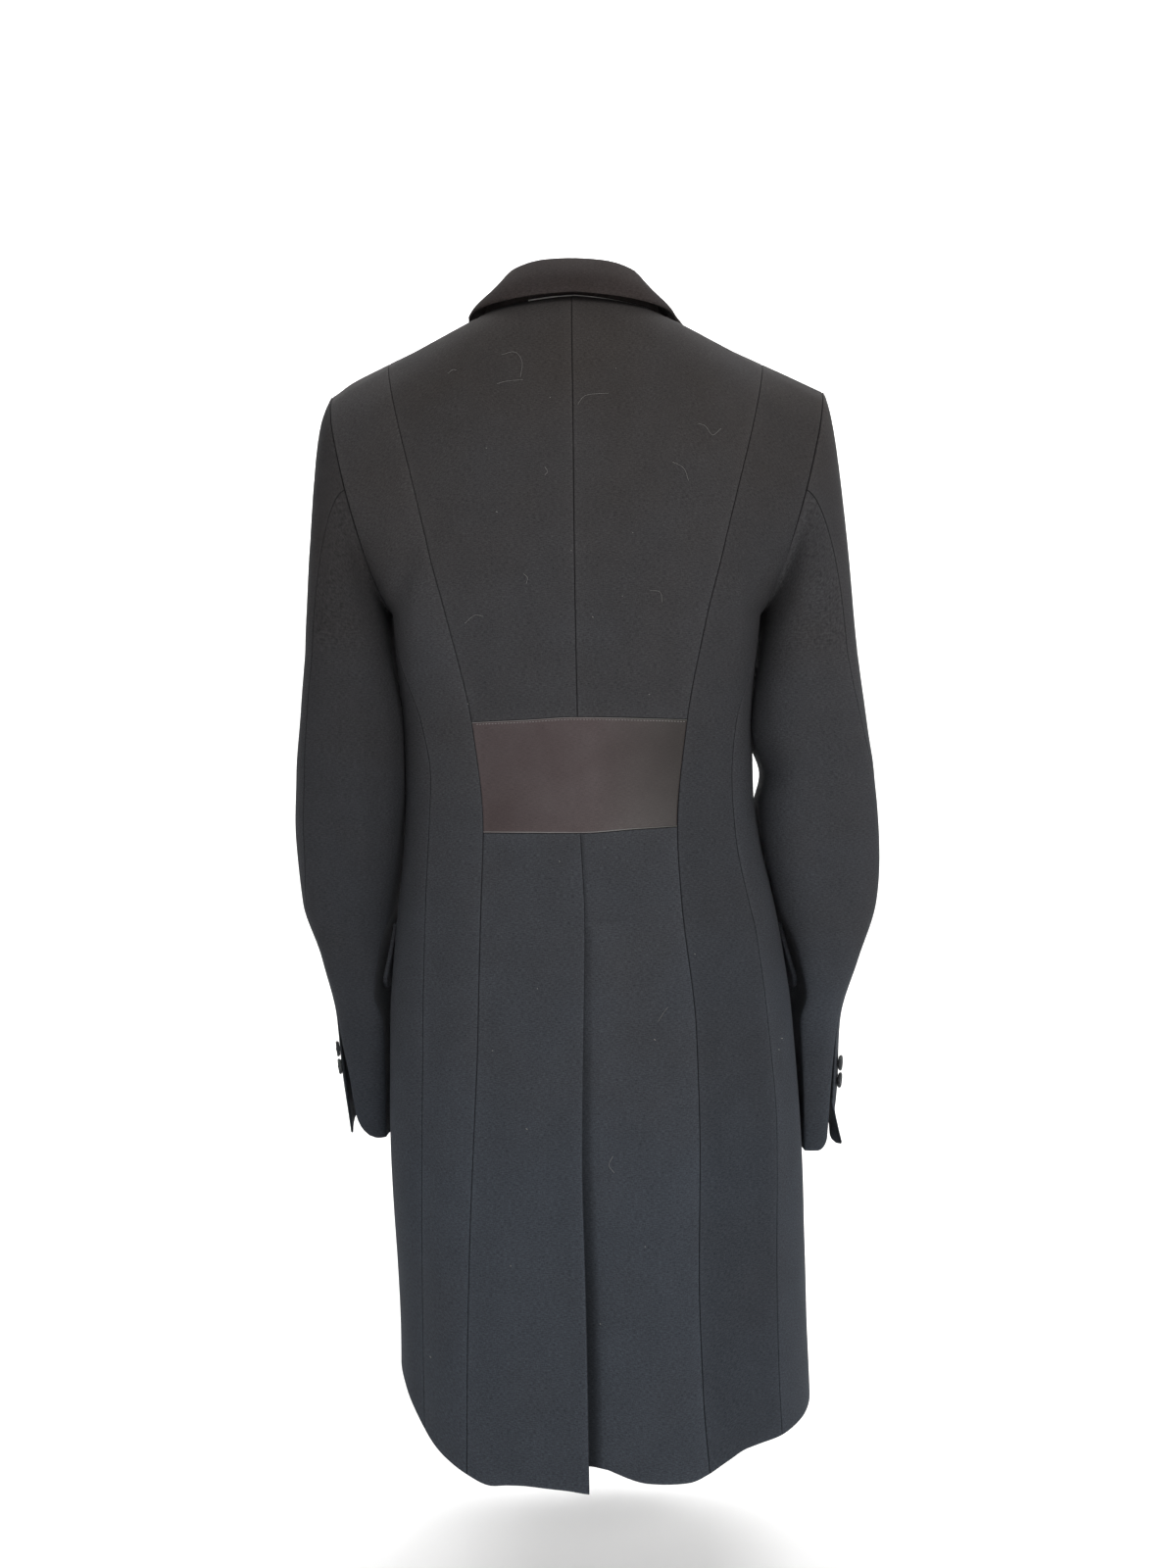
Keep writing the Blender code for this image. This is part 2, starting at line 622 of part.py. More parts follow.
def back_upper(side, name):
    levels = np.array(CHEST_LEVELS + UPPER_LEVELS)
    # One column meets the corner of the neck opening; those inside it stop at the neck seam.
    end_w = neck_w(side)
    corner = end_w / float(princess_w(side, levels[-1:])[0])
    share = np.sort(np.append(np.linspace(0.0, 1.0, BACK_CELLS + 1), corner))
    w, level = centre_back(side, levels, share)
    ceiling = neck_ceiling(w[-1], end_w)
    level = level * np.where(level > 0.0, ceiling[None, :], 1.0)
    points = pull(torso(side, w, level))
    shell(name, points, torso_normal(side, w, level), "cloth")


def side_back(side, name):
    levels = np.array(SKIRT_LEVELS + PANEL_LEVELS + CHEST_LEVELS + UPPER_LEVELS)
    w, level = grid(side, levels, princess_w(side, levels), side_seam_w(side, levels), SIDE_CELLS)
    shell(name, pull(torso(side, w, level), bottom=False), torso_normal(side, w, level), "cloth")


def waist_panel(name):
    levels = np.array(PANEL_LEVELS + [WAIST_TOP_Z - UNDERARM_Z])
    halves = []
    for side in (-1, 1):
        w, level = centre_back(side, levels, np.linspace(0.0, 1.0, BACK_CELLS + 1))
        halves.append((torso(side, w, level), torso_normal(side, w, level)))
    points = np.concatenate((halves[0][0][:, :0:-1], halves[1][0]), axis=1)
    normal = np.concatenate((halves[0][1][:, :0:-1], halves[1][1]), axis=1)
    shell(name, pull(points), normal, "satin")


def back_skirt(side, name):
    levels = np.array(SKIRT_LEVELS + [WAIST_LOW_Z - UNDERARM_Z])
    w, level = centre_back(side, levels, np.linspace(0.0, 1.0, BACK_CELLS + 1))
    points = torso(side, w, level)
    normal = torso_normal(side, w, level)
    if side > 0:
        shell(name, pull(points, bottom=False), normal, "cloth")
        return
    # The right back runs on under the left one, one layer deeper, below the vent's top.
    points = pull(points, bottom=False)
    rows = len(levels)
    open_part = levels < VENT_TOP_Z - UNDERARM_Z - 1e-6
    ring = smooth(TORSO, UNDERARM_Z + levels)
    lap_w = VENT_LAP / (3 * ring[..., 4] * ring[..., 0])
    extra = []
    extra_normal = []
    for share in (0.35, 0.70, 1.0):
        lap = centre_w(side, levels) - share * lap_w
        extra.append(torso(side, lap, levels))
        extra_normal.append(torso_normal(side, lap, levels))
    extra = np.stack(extra, axis=1)
    extra_normal = np.stack(extra_normal, axis=1)
    points = np.concatenate((extra[:, ::-1], points), axis=1)
    normal = np.concatenate((extra_normal[:, ::-1], normal), axis=1)
    depth = np.zeros(points.shape[:2])
    depth[:, :3] = LAP_DEPTH
    depth[:, 3] = LAP_DEPTH * open_part
    points = points - normal * depth[..., None]
    keep = np.ones((rows - 1, points.shape[1] - 1), dtype=bool)
    keep[:, :3] = (open_part[1:])[:, None]
    shell(name, points, normal, "cloth", keep=keep)


def front(side, name):
    levels = np.array(SKIRT_LEVELS + PANEL_LEVELS + CHEST_LEVELS + UPPER_LEVELS)
    start = np.where(levels > 0.0, 1.00001, side_seam_w(side, levels))
    w, level = grid(side, levels, start, front_edge_w(side, levels), FRONT_CELLS)
    points = torso(side, w, level)
    normal = torso_normal(side, w, level)
    points = pull(points, bottom=False, right=False)
    if side < 0:
        # The right front lies one layer deeper where the left one covers it.
        mid = smooth(TORSO, np.minimum(points[..., 2], UNDERARM_Z))[..., 3]
        across = points[..., 0] - mid
        near = ease((across + 0.045) / 0.025) * ease((-0.290 - points[..., 2]) / 0.030)
        points = points - normal * (LAP_DEPTH * near)[..., None]
    shell(name, points, normal, "cloth")


# ---------------------------------------------------------------- sleeves
def armhole(side, q):
    """Armhole edge (q 0 underarm, 0.25 back, 0.5 shoulder tip, 0.75 front), the panel's normal
    there, and the direction in which the panel would run on."""
    point, back, level, arm = armhole_edge(side, q)
    normal = torso_normal(side, np.where(back, 1.0, 1.00001), np.maximum(level, 1e-4))
    run = unit(xyz(side * arm[..., 3], arm[..., 4], arm[..., 5]))
    upward = (1.0 - ease(level / 0.35))[..., None] * np.array([0.0, 0.0, 1.0])
    run = run * ease(level / 0.35)[..., None] + upward
    ahead = armhole_edge(side, q + 0.003)[0]
    onward = np.cross(normal, ahead - armhole_edge(side, q - 0.003)[0])
    onward = onward * np.sign(np.sum(onward * run, axis=-1, keepdims=True))
    return point, normal, unit(onward)


def armhole_edge(side, q):
    """The armhole with its corners where the panels' rows end, so that the seam closes."""
    q = np.asarray(q, float) % 1.0
    back = q <= 0.5
    level = np.where(back, 2 * q, 2 * (1 - q))
    corners = np.array(UPPER_LEVELS)
    behind = smooth(ARM_BACK, corners)
    before = smooth(ARM_FRONT, corners)
    arm = np.stack([np.where(back, np.interp(level, corners, behind[:, i]),
                             np.interp(level, corners, before[:, i])) for i in range(6)], axis=-1)
    return xyz(side * arm[..., 0], arm[..., 1], arm[..., 2]), back, level, arm


def body_edge(side, y, z):
    """How far out the body reaches at depth y, on the level z, below the underarm."""
    w = np.linspace(0.45, 1.65, 49)
    out = np.empty(np.shape(y))
    flat_y = np.asarray(y).reshape(-1)
    flat_z = np.asarray(z).reshape(-1)
    levels, place = np.unique(np.round(flat_z, 5), return_inverse=True)
    flat = out.reshape(-1)
    for i, height in enumerate(levels):
        ring = torso(side, w, np.full_like(w, min(height - UNDERARM_Z, 0.0)))
        chosen = place.reshape(-1) == i
        flat[chosen] = np.interp(-flat_y[chosen], -ring[:, 1], side * ring[:, 0])
    return flat.reshape(np.shape(y))


def sleeve_ring(side, q, z):
    row = smooth(SLEEVE_TUBE[side], z)
    angle = 2 * math.pi * np.asarray(q)
    across = np.cos(angle)
    along = np.sin(angle)
    outwards = row[..., 2] * np.maximum(-across, 0.0) ** SLEEVE_ROUND
    inwards = row[..., 3] * np.maximum(across, 0.0) ** SLEEVE_ROUND_IN
    x = row[..., 0] + outwards - inwards
    y = row[..., 1] + row[..., 4] * np.sign(along) * np.abs(along) ** SLEEVE_ROUND
    z = np.broadcast_to(z, x.shape)
    room = body_edge(side, y, z) + smooth(SLEEVE_ROOM, z)[..., 0]
    return xyz(side * np.maximum(x, room), y, z)


def sleeve_point(side, q, v):
    """v 0 to 1 is the sleeve head from the armhole down, beyond 1 metres below it."""
    q, v = np.broadcast_arrays(np.asarray(q, float), np.asarray(v, float))
    top, _, onward = armhole(side, q)
    head_z = SLEEVE_TUBE[side][-1][0]
    top = top + onward * SEAM_GAP
    head = smooth(SLEEVE_HEAD, q)
    ring = sleeve_ring(side, q, head_z - np.maximum(v - 1.0, 0.0))
    lean = -side * SLEEVE_LEAN[side] * np.sin(math.pi * q) ** 2
    upright = xyz(lean, 0.0, 1.0) * head[..., 1:2]
    leave = unit(onward + head[..., 2:3] * np.array([side, 0.0, 0.0])) * head[..., :1]
    high = bezier(top, top + leave, ring + upright, ring, np.clip(v, 0, 1))
    return np.where((v < 1.0)[..., None], high, ring)


def sleeve_normal(side, q, v):
    dq, dv = 0.004, 0.012
    ahead = sleeve_point(side, np.clip(q + dq, 0, 1), v)
    behind = sleeve_point(side, np.clip(q - dq, 0, 1), v)
    down = sleeve_point(side, q, v + dv) - sleeve_point(side, q, np.maximum(v - dv, 0.0))
    return unit(np.cross(ahead - behind, down)) * side


def vent_half(side, depth):
    """Half of the vent's width, as a part of the way round, at a depth below its top."""
    left = 1.0 - np.clip(depth / VENT_LENGTH, 0.0, 1.0)
    return 0.5 * VENT_SPREAD[side] * (1.0 - left ** 2)


def vent_flare(side, round_from_edge, height):
    """How the top sleeve's edge turns outwards beside the vent, at a height above the cuff."""
    low = np.clip(1.0 - height / FLARE_LENGTH, 0.0, 1.0)
    near = np.exp(-(round_from_edge / FLARE_WIDTH) ** 2)
    return xyz(side * VENT_FLARE[side] * low * near, 0.0, 0.0)


def cuff_rise(side, q, height):
    """How the cuff edge lies higher on the outer side of the arm."""
    middle, rise = CUFF_RISE[side]
    low = np.clip(1.0 - height / FLARE_LENGTH, 0.0, 1.0)
    return xyz(0.0, 0.0, rise * low * np.exp(-((q - middle) / CUFF_RISE_WIDTH) ** 2))


def sleeve_grid(side, part):
    table = SLEEVE_TUBE[side]
    head_z = table[-1][0]
    cuff = head_z - table[0][0]
    vent = cuff - VENT_LENGTH
    tube = levels_between(0.0, vent, 7) + levels_between(vent, cuff - CUFF_ROW, 4)
    tube += [cuff - CUFF_ROW, cuff]
    v = np.array(HEAD_STEPS + [1.0 + t for t in tube])
    seam = smooth(table, head_z - np.maximum(v - 1.0, 0.0))
    blend = ease(v)
    hind = HEAD_COLUMNS["top"][0] * (1 - blend) + seam[..., 5] * blend
    fore = HEAD_COLUMNS["top"][-1] * (1 - blend) + seam[..., 6] * blend
    parted = vent_half(side, v - 1.0 - vent)
    head = np.array(HEAD_COLUMNS[part])
    head = (head - head[0]) / (head[-1] - head[0])
    even = np.linspace(0.0, 1.0, len(head))
    share = head[None, :] * (1 - blend[:, None]) + even[None, :] * blend[:, None]
    if part == "top":
        first = hind + parted
        last = fore
    else:
        first = fore - 1.0
        last = hind - parted
    q = first[:, None] * (1 - share) + last[:, None] * share
    return q, v[:, None] + 0 * q


def sleeve(side, part, name):
    q, v = sleeve_grid(side, part)
    wrap = q % 1.0
    points = sleeve_point(side, wrap, v)
    normal = sleeve_normal(side, wrap, v)
    normal[0] = armhole(side, wrap[0])[1]
    if part == "top":
        height = v[-1:] - v
        points = points + vent_flare(side, q - q[:, :1], height) + cuff_rise(side, q, height)
    # The vent is on the top sleeve's first column and the under sleeve's last one.
    for column, cut in CUFF_CORNER[side, part]:
        c = column if part == "top" else -1 - column
        points[-1, c] += (points[-2, c] - points[-1, c]) * cut
    points = pull(points, bottom=False, top=False)
    shell(name, points, normal, "cloth")


# ---------------------------------------------------------------- collar, lapels, flaps
def project(side, target, w, level):
    """Place on the body's outer face nearest to each target point, searched from (w, level)."""
    w = np.array(w, dtype=float) + 0 * target[..., 0]
    level = np.array(level, dtype=float) + 0 * target[..., 0]
    low = np.where(w <= 1.0, -0.3, 1.00001)
    high = np.where(w <= 1.0, 1.0, 2.3)
    for _ in range(12):
        here = torso(side, w, level)
        step_w = (torso(side, w + 0.002, level) - torso(side, w - 0.002, level)) / 0.004
        step_l = (torso(side, w, level + 0.002) - torso(side, w, level - 0.002)) / 0.004
        miss = target - here
        a = np.sum(step_w * step_w, axis=-1)
        b = np.sum(step_w * step_l, axis=-1)
        c = np.sum(step_l * step_l, axis=-1)
        e = np.sum(step_w * miss, axis=-1)
        f = np.sum(step_l * miss, axis=-1)
        det = np.maximum(a * c - b * b, 1e-12)
        w = np.clip(w + np.clip((e * c - f * b) / det, -0.1, 0.1), low, high)
        level = np.clip(level + np.clip((a * f - b * e) / det, -0.1, 0.1), -0.7, 0.999)
    return w, level


def neck_w(side):
    """Where the neck opening meets the shoulder seam."""
    flat = ((-1.0, NECK_HALF[side]), (1.0, NECK_HALF[side]))
    return float(w_on_line(side, 0, flat, np.array([1.0]), 0.0, 1.0)[0])


def neck_ceiling(w, end_w):
    """Level of the neck seam above a place across the back."""
    inside = np.clip(1.0 - (w / end_w) ** 2, 0.0, 1.0)
    return 1.0 - (1.0 - BACK_NECK_LEVEL) * np.sqrt(inside)


def neckline(side, station):
    """Point of the neck seam or roll line, the body's normal and the way into the opening."""
    end_w = neck_w(side)
    station = np.asarray(station, float)
    back = station <= 1.0
    back_w = np.minimum(station, 1.0) * end_w
    back_level = neck_ceiling(back_w, end_w)
    front_level = 1.0 - (1.0 - GORGE_LEVEL) * np.clip(station - 1.0, 0.0, 1.0)
    front_w = front_edge_w(side, front_level)
    w = np.where(back, back_w, front_w)
    level = np.where(back, back_level, front_level)
    point = torso(side, w, level)
    normal = torso_normal(side, w, level)
    near = neck_track(side, station + 0.01) - neck_track(side, station - 0.01)
    inward = unit(np.cross(normal, near)) * -side
    return point, normal, inward, w, level


def neck_track(side, station):
    end_w = neck_w(side)
    station = np.asarray(station, float)
    back_w = np.clip(np.abs(station), 0.0, 1.0) * end_w
    mirror = np.where(station < 0.0, -1.0, 1.0)
    front_level = 1.0 - (1.0 - GORGE_LEVEL) * np.maximum(station - 1.0, 0.0)
    back_point = torso(side, back_w, neck_ceiling(back_w, end_w)) * xyz(mirror, 1.0, 1.0)
    front_point = torso(side, front_edge_w(side, front_level), front_level)
    return np.where((station <= 1.0)[..., None], back_point, front_point)


def collar_half(side, stations):
    """Rows from the fall's edge over the fold to the foot of the stand, for one side."""
    row = smooth(COLLAR, stations)
    stand, lean, reach, off = (row[..., i:i + 1] for i in range(4))
    point, normal, inward, w, level = neckline(side, stations)
    up = np.array([0.0, 0.0, 1.0])
    standing = np.clip(stand / 0.006, 0.0, 1.0)
    target = point - inward * reach
    edge_w, edge_level = project(side, target, w, np.minimum(level, 0.98))
    edge = torso(side, edge_w, edge_level) + torso_normal(side, edge_w, edge_level) * off
    fold = point + inward * lean + up * stand + normal * FLAT_COLLAR_RISE * (1 - standing)
    flat_in = unit(inward * np.array([1.0, 1.0, 0.0]))
    foot = point + flat_in * FOOT_INSET + up * FOOT_RISE
    out = unit((edge - fold) * np.array([1.0, 1.0, 0.0]) + normal * 1e-4)
    lines = []
    for t in (0.0, 0.25, 0.5, 0.75, 1.0):
        belly = math.sin(math.pi * min(t * 0.9 + 0.1, 1.0)) * FALL_BELLY
        lines.append(edge * (1 - t) + fold * t + out * belly * standing
                     + normal * FLAT_COLLAR_BELLY * math.sin(math.pi * t) * (1 - standing))
    lines.append(fold + (flat_in * FOLD_HALF + up * FOLD_DROP) * standing
                 + inward * 0.0010 * (1 - standing))
    inside = (fold + (flat_in * 2 * FOLD_HALF - up * FOLD_DROP) * standing
              + inward * 0.0020 * (1 - standing))
    lines.append(inside)
    for t in (0.15, 0.5, 1.0):
        lines.append(inside * (1 - t) + foot * t)
    return np.stack(lines, axis=0)


def collar(name, part):
    """The stand rises from the neck seam; the fall turns over its top and lies outside."""
    stations = np.array([0.0, 0.15, 0.3, 0.45, 0.6, 0.75, 0.88, 1.0, 1.12, 1.3, 1.5, 1.75, 2.0])
    if part == "stand":
        stations = stations[:8]
    left = collar_half(1, stations)
    right = collar_half(-1, stations)
    points = np.concatenate((right[:, :0:-1], left), axis=1)
    along = np.gradient(points, axis=1)
    up = np.gradient(points, axis=0)
    normal = unit(np.cross(up, along))
    rows = slice(0, FALL_ROWS) if part == "fall" else slice(FALL_ROWS, None)
    points = points[rows]
    normal = normal[rows]
    middle = points.shape[1] // 2
    if normal[0, middle, 1] * (1 if part == "fall" else -1) < 0:
        normal = -normal
    shell(name, points, normal, "cloth", thick=COLLAR_CLOTH)


def lapel(side, name):
    table = np.array(LAPEL)
    rows = np.linspace(0.0, 1.0, 13)
    keys = np.linspace(0.0, 1.0, len(LAPEL))
    line = smooth(np.column_stack((keys, table)), rows)
    inner_z = line[:, 0]
    inner_z[-1] = LAPEL_TOP_Z
    outer_x = line[:, 1]
    outer_z = line[:, 2]
    level0 = np.where(inner_z < UNDERARM_Z, inner_z - UNDERARM_Z,
                      (inner_z - UNDERARM_Z) / (0.032 - UNDERARM_Z))
    inner_x = smooth(FRONT_EDGE_WORLD[side], inner_z)[..., 0]
    share = np.linspace(0.0, 1.0, 7)[None, :]
    x = (inner_x[:, None] * (1 - share) + outer_x[:, None] * share) * side
    z = inner_z[:, None] * (1 - share) + outer_z[:, None] * share
    w, level = place_on_front(side, x, z, level0[:, None] + 0 * z)
    rise = LAPEL_RISE + LAPEL_BELLY * np.sin(math.pi * share) ** 2 + 0 * z
    normal = torso_normal(side, w, level)
    points = torso(side, w, level) + normal * rise[..., None]
    shell(name, points, normal, "satin")


def place_on_front(side, x, z, level):
    """Place on the front panel seen from the front at (x, z)."""
    w = np.full_like(x, 1.6)
    for _ in range(16):
        here = torso(side, w, level)
        step_w = (torso(side, w + 0.002, level) - torso(side, w - 0.002, level)) / 0.004
        step_l = (torso(side, w, level + 0.002) - torso(side, w, level - 0.002)) / 0.004
        dx = x - here[..., 0]
        dz = z - here[..., 2]
        det = step_w[..., 0] * step_l[..., 2] - step_w[..., 2] * step_l[..., 0]
        det = np.where(np.abs(det) < 1e-9, 1e-9, det)
        w = w + np.clip((dx * step_l[..., 2] - dz * step_l[..., 0]) / det, -0.15, 0.15)
        level = level + np.clip((step_w[..., 0] * dz - step_w[..., 2] * dx) / det, -0.15, 0.15)
        w = np.clip(w, 1.01, 2.25)
        level = np.clip(level, -0.7, 0.995)
    return w, level


def flap(side, name):
    across = np.linspace(0.0, 1.0, 11)[None, :]
    down = np.linspace(0.0, 1.0, 5)[:, None]
    w = FLAP_REAR_W + (FLAP_FORE_W - FLAP_REAR_W) * across + 0 * down
    corner = FLAP_CORNER * (np.clip(1 - across / 0.08, 0, 1) ** 2
                            + np.clip(1 - (1 - across) / 0.08, 0, 1) ** 2)
    z = FLAP_TOP_Z + (FLAP_LOW_Z + corner - FLAP_TOP_Z) * down
    level = z - UNDERARM_Z - hem_rise(side, w, z)
    flare = FLAP_FLARE * (1 - across) ** 2 + FLAP_FLARE_FORE * (1 - (1 - across) ** 2)
    rise = FLAP_THICK + LAYER_GAP + flare * down ** 1.3
    normal = torso_normal(side, w, level)
    points = torso(side, w, level) + normal * rise[..., None]
    shell(name, points, normal, "cloth", thick=FLAP_THICK)


def button(name, centre, axis, kind):
    """Round button with a raised rim, lying on a face whose outward direction is axis."""
    radius, thick = BUTTON_SIZES[kind]
    axis = unit(np.asarray(axis, float))
    side_way = unit(np.cross(axis, np.array([0.0, 0.0, 1.0])))
    up_way = np.cross(side_way, axis)
    profile = ((radius * 0.80, 0.0), (radius, thick * 0.35), (radius, thick * 0.75),
               (radius * 0.88, thick), (radius * 0.66, thick * 0.72))
    count = 16
    verts = []
    for r, h in profile:
        for i in range(count):
            a = 2 * math.pi * i / count
            verts.append(centre + axis * h + side_way * r * math.cos(a) + up_way * r * math.sin(a))
    faces = []
    for k in range(len(profile) - 1):
        for i in range(count):
            j = (i + 1) % count
            faces.append([k * count + i, k * count + j, (k + 1) * count + j, (k + 1) * count + i])
    faces.append(list(range(count - 1, -1, -1)))
    faces.append([(len(profile) - 1) * count + i for i in range(count)])
    add_mesh(name, verts, faces, "button")


def cuff_buttons(side, letter):
    """Buttons along the vent's edge, on the top sleeve."""
    table = SLEEVE_TUBE[side]
    for i in range(2):
        z = table[0][0] + CUFF_BUTTON_FIRST + CUFF_BUTTON_STEP * (1 - i)
        v = 1.0 + table[-1][0] - z
        q = float(smooth(table, z)[5]) + CUFF_BUTTON_INSET
        centre = sleeve_point(side, np.array([q]), np.array([v]))[0]
        axis = sleeve_normal(side, np.array([q]), np.array([v]))[0]
        button("cuff_button_%s%d" % (letter, i + 1), centre + axis * LAYER_GAP, axis, "cuff")


def front_button():
    level = BUTTON_Z - UNDERARM_Z
    w = float(front_edge_w(1, np.array([level]))[0]) - BUTTON_INSET_W
    centre = torso(1, np.array([w]), np.array([level]))[0]
    axis = torso_normal(1, np.array([w]), np.array([level]))[0]
    button("front_button", centre + axis * LAYER_GAP, axis, "front")


def main():
    clear_scene()
    back_upper(1, "back_upper_l")
    back_upper(-1, "back_upper_r")
    waist_panel("waist_panel")
    back_skirt(1, "back_skirt_l")
    back_skirt(-1, "back_skirt_r")
    side_back(1, "side_back_l")
    side_back(-1, "side_back_r")
    front(1, "front_l")
    front(-1, "front_r")
    sleeve(1, "top", "sleeve_top_l")
    sleeve(1, "under", "sleeve_under_l")
    sleeve(-1, "top", "sleeve_top_r")
    sleeve(-1, "under", "sleeve_under_r")
    collar("collar_stand", "stand")
    collar("collar_fall", "fall")
    lapel(1, "lapel_l")
    lapel(-1, "lapel_r")
    flap(1, "flap_l")
    flap(-1, "flap_r")
    cuff_buttons(1, "l")
    cuff_buttons(-1, "r")
    front_button()


main()
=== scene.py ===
"""Looks of the smoking jacket: thin cloth shells on the solids' form, with seams, sewing and cloth."""
import math

import bpy
import numpy as np
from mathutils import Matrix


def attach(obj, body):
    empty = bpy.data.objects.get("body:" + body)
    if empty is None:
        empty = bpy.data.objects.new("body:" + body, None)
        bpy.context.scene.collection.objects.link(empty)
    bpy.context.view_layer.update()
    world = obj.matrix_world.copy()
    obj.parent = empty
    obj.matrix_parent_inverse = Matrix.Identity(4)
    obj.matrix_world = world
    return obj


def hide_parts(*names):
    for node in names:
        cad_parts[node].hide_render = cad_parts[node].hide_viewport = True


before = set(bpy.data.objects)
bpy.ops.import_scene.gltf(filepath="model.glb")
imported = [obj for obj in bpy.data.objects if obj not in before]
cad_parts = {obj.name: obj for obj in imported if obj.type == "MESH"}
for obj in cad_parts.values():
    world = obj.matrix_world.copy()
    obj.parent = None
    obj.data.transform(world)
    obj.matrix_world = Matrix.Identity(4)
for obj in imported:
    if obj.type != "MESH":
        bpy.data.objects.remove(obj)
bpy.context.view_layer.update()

CLOTH = 0.0020            # wall of one layer of interlined cloth
COLLAR_CLOTH = 0.0019     # and of the collar
SEAM_GAP = 0.0002         # between a sleeve's head and the armhole
LAYER_GAP = 0.0004        # between a piece and the one that lies on it
UNDERARM_Z = -0.250       # level of the underarm point
WAIST_TOP_Z = -0.3465     # upper edge of the satin waist panel
WAIST_LOW_Z = -0.4360     # lower edge of the satin waist panel
VENT_TOP_Z = -0.507       # where the centre-back seam ends and the vent starts
VENT_LAP = 0.034          # how far the right back lies under the left one
HEM_Z = -0.952            # lowest line of the hem, at the centre back
NECK_HALF = {1: 0.085, -1: 0.079}  # half of the neck opening, at each shoulder seam
SEAM_LEAN = 0.0028        # how far the centre-back seam leans to the left at the neck
BACK_NECK_LEVEL = 0.843   # how far up the back line the neck seam crosses it
BLADE_RUN = 0.60          # flatness of the rows at the shoulder blades, part of their width
RIDGE_RUN = 0.35          # and at the shoulder seam
RIDGE_Z = 0.032           # height of the shoulder ridge at the neck
RIDGE_SINK = {1: 0.006, -1: 0.014}  # how much lower each shoulder's inner half is drawn
LAP_DEPTH = CLOTH + 0.0010  # how much deeper an overlapped layer lies
LAP_MORE = 0.0065         # and how much more the right back is drawn in at the hem
FRONT_START_W = 1.00001   # just past the side, on the front
SLOPE_STEP = 0.002        # step over which the body's slope is measured
# The body as level rings, hem to underarm: half width, depth of back and front, middle, and
# the handle length of a quarter ring (0.55 round, 1 square).
TORSO = (
    # z, half_width, back, front, mid_x, square
    (-0.96, 0.179, 0.118, 0.118, -0.0265, 0.62),
    (-0.86, 0.1781, 0.117, 0.12, -0.024, 0.62),
    (-0.72, 0.1803, 0.112, 0.122, -0.0177, 0.62),
    (-0.6, 0.1765, 0.104, 0.12, -0.0135, 0.61),
    (-0.52, 0.168, 0.095, 0.114, -0.01, 0.6),
    (-0.44, 0.156, 0.083, 0.105, -0.005, 0.6),
    (-0.4, 0.153, 0.0795, 0.102, -0.003, 0.61),
    (-0.345, 0.1535, 0.0815, 0.103, -0.0015, 0.66),
    (-0.3, 0.156, 0.0885, 0.1065, 0.0, 0.75),
    (-0.25, 0.16, 0.098, 0.11, 0.0, 0.84),
)
# Middle of the back and of the front, from the underarm level (0) to the shoulder ridge (1).
BACK_LINE = (
    # level, y, z
    (0.0, 0.098, -0.25), (0.25, 0.1045, -0.183), (0.5, 0.099, -0.105), (0.7, 0.083, -0.036),
    (0.82, 0.063, 0.006), (0.92, 0.034, 0.027), (1.0, 0.0, 0.032),
)
FRONT_LINE = (
    # level, y, z
    (0.0, -0.11, -0.25), (0.25, -0.112, -0.185), (0.5, -0.102, -0.108), (0.7, -0.08, -0.042),
    (0.82, -0.058, 0.0), (0.92, -0.03, 0.024), (1.0, 0.0, 0.032),
)
# Armhole edge from underarm (0) to shoulder tip (1), and the handle that gives the panel's
# direction as it reaches the edge.
ARM_BACK = (
    # level, x, y, z, run_x, run_y, run_z
    (0.0, 0.16, 0.0, -0.25, 0.0, -0.0823, 0.0),
    (0.12, 0.1625, 0.027, -0.244, 0.005, -0.058, 0.0),
    (0.28, 0.174, 0.049, -0.215, 0.019, -0.038, 0.0),
    (0.5, 0.189, 0.059, -0.165, 0.036, -0.026, -0.003),
    (0.75, 0.205, 0.046, -0.103, 0.052, -0.017, -0.013),
    (0.9, 0.2135, 0.023, -0.0655, 0.062, -0.008, -0.0225),
    (1.0, 0.2175, 0.0, -0.0492, 0.067, 0.0, -0.03),
)
ARM_FRONT = (
    # level, x, y, z, run_x, run_y, run_z
    (0.0, 0.16, 0.0, -0.25, 0.0, 0.0924, 0.0),
    (0.12, 0.162, -0.029, -0.244, 0.005, 0.064, 0.0),
    (0.28, 0.1715, -0.052, -0.214, 0.018, 0.042, 0.0),
    (0.5, 0.185, -0.061, -0.164, 0.034, 0.028, -0.003),
    (0.75, 0.202, -0.047, -0.103, 0.052, 0.018, -0.013),
    (0.9, 0.2125, -0.023, -0.0655, 0.062, 0.008, -0.0225),
    (1.0, 0.2175, 0.0, -0.0492, 0.067, 0.0, -0.03),
)
# Centre-back seam and the vent's edge below it; it hangs nearer upright than the body leans.
CENTRE_SEAM = (
    # z, x
    (-0.96, -0.0115), (-0.86, -0.01), (-0.79, -0.0085), (-0.69, -0.006), (-0.6, -0.007),
    (-0.51, -0.008), (-0.436, -0.0045), (-0.345, -0.0018), (-0.25, 0.0),
)
# Seam between centre back and side back, distance from the middle plane on each side.
PRINCESS = (
    # z, left, right
    (-0.96, 0.087, 0.109), (-0.88, 0.0865, 0.102), (-0.79, 0.0845, 0.099), (-0.69, 0.0815, 0.1005),
    (-0.597, 0.0783, 0.0985), (-0.49, 0.0768, 0.0867), (-0.436, 0.076, 0.084),
    (-0.346, 0.0853, 0.092), (-0.26, 0.1048, 0.107), (-0.205, 0.1192, 0.12),
    (-0.15, 0.1328, 0.1335), (-0.09, 0.1485, 0.149), (-0.025, 0.165, 0.164),
)
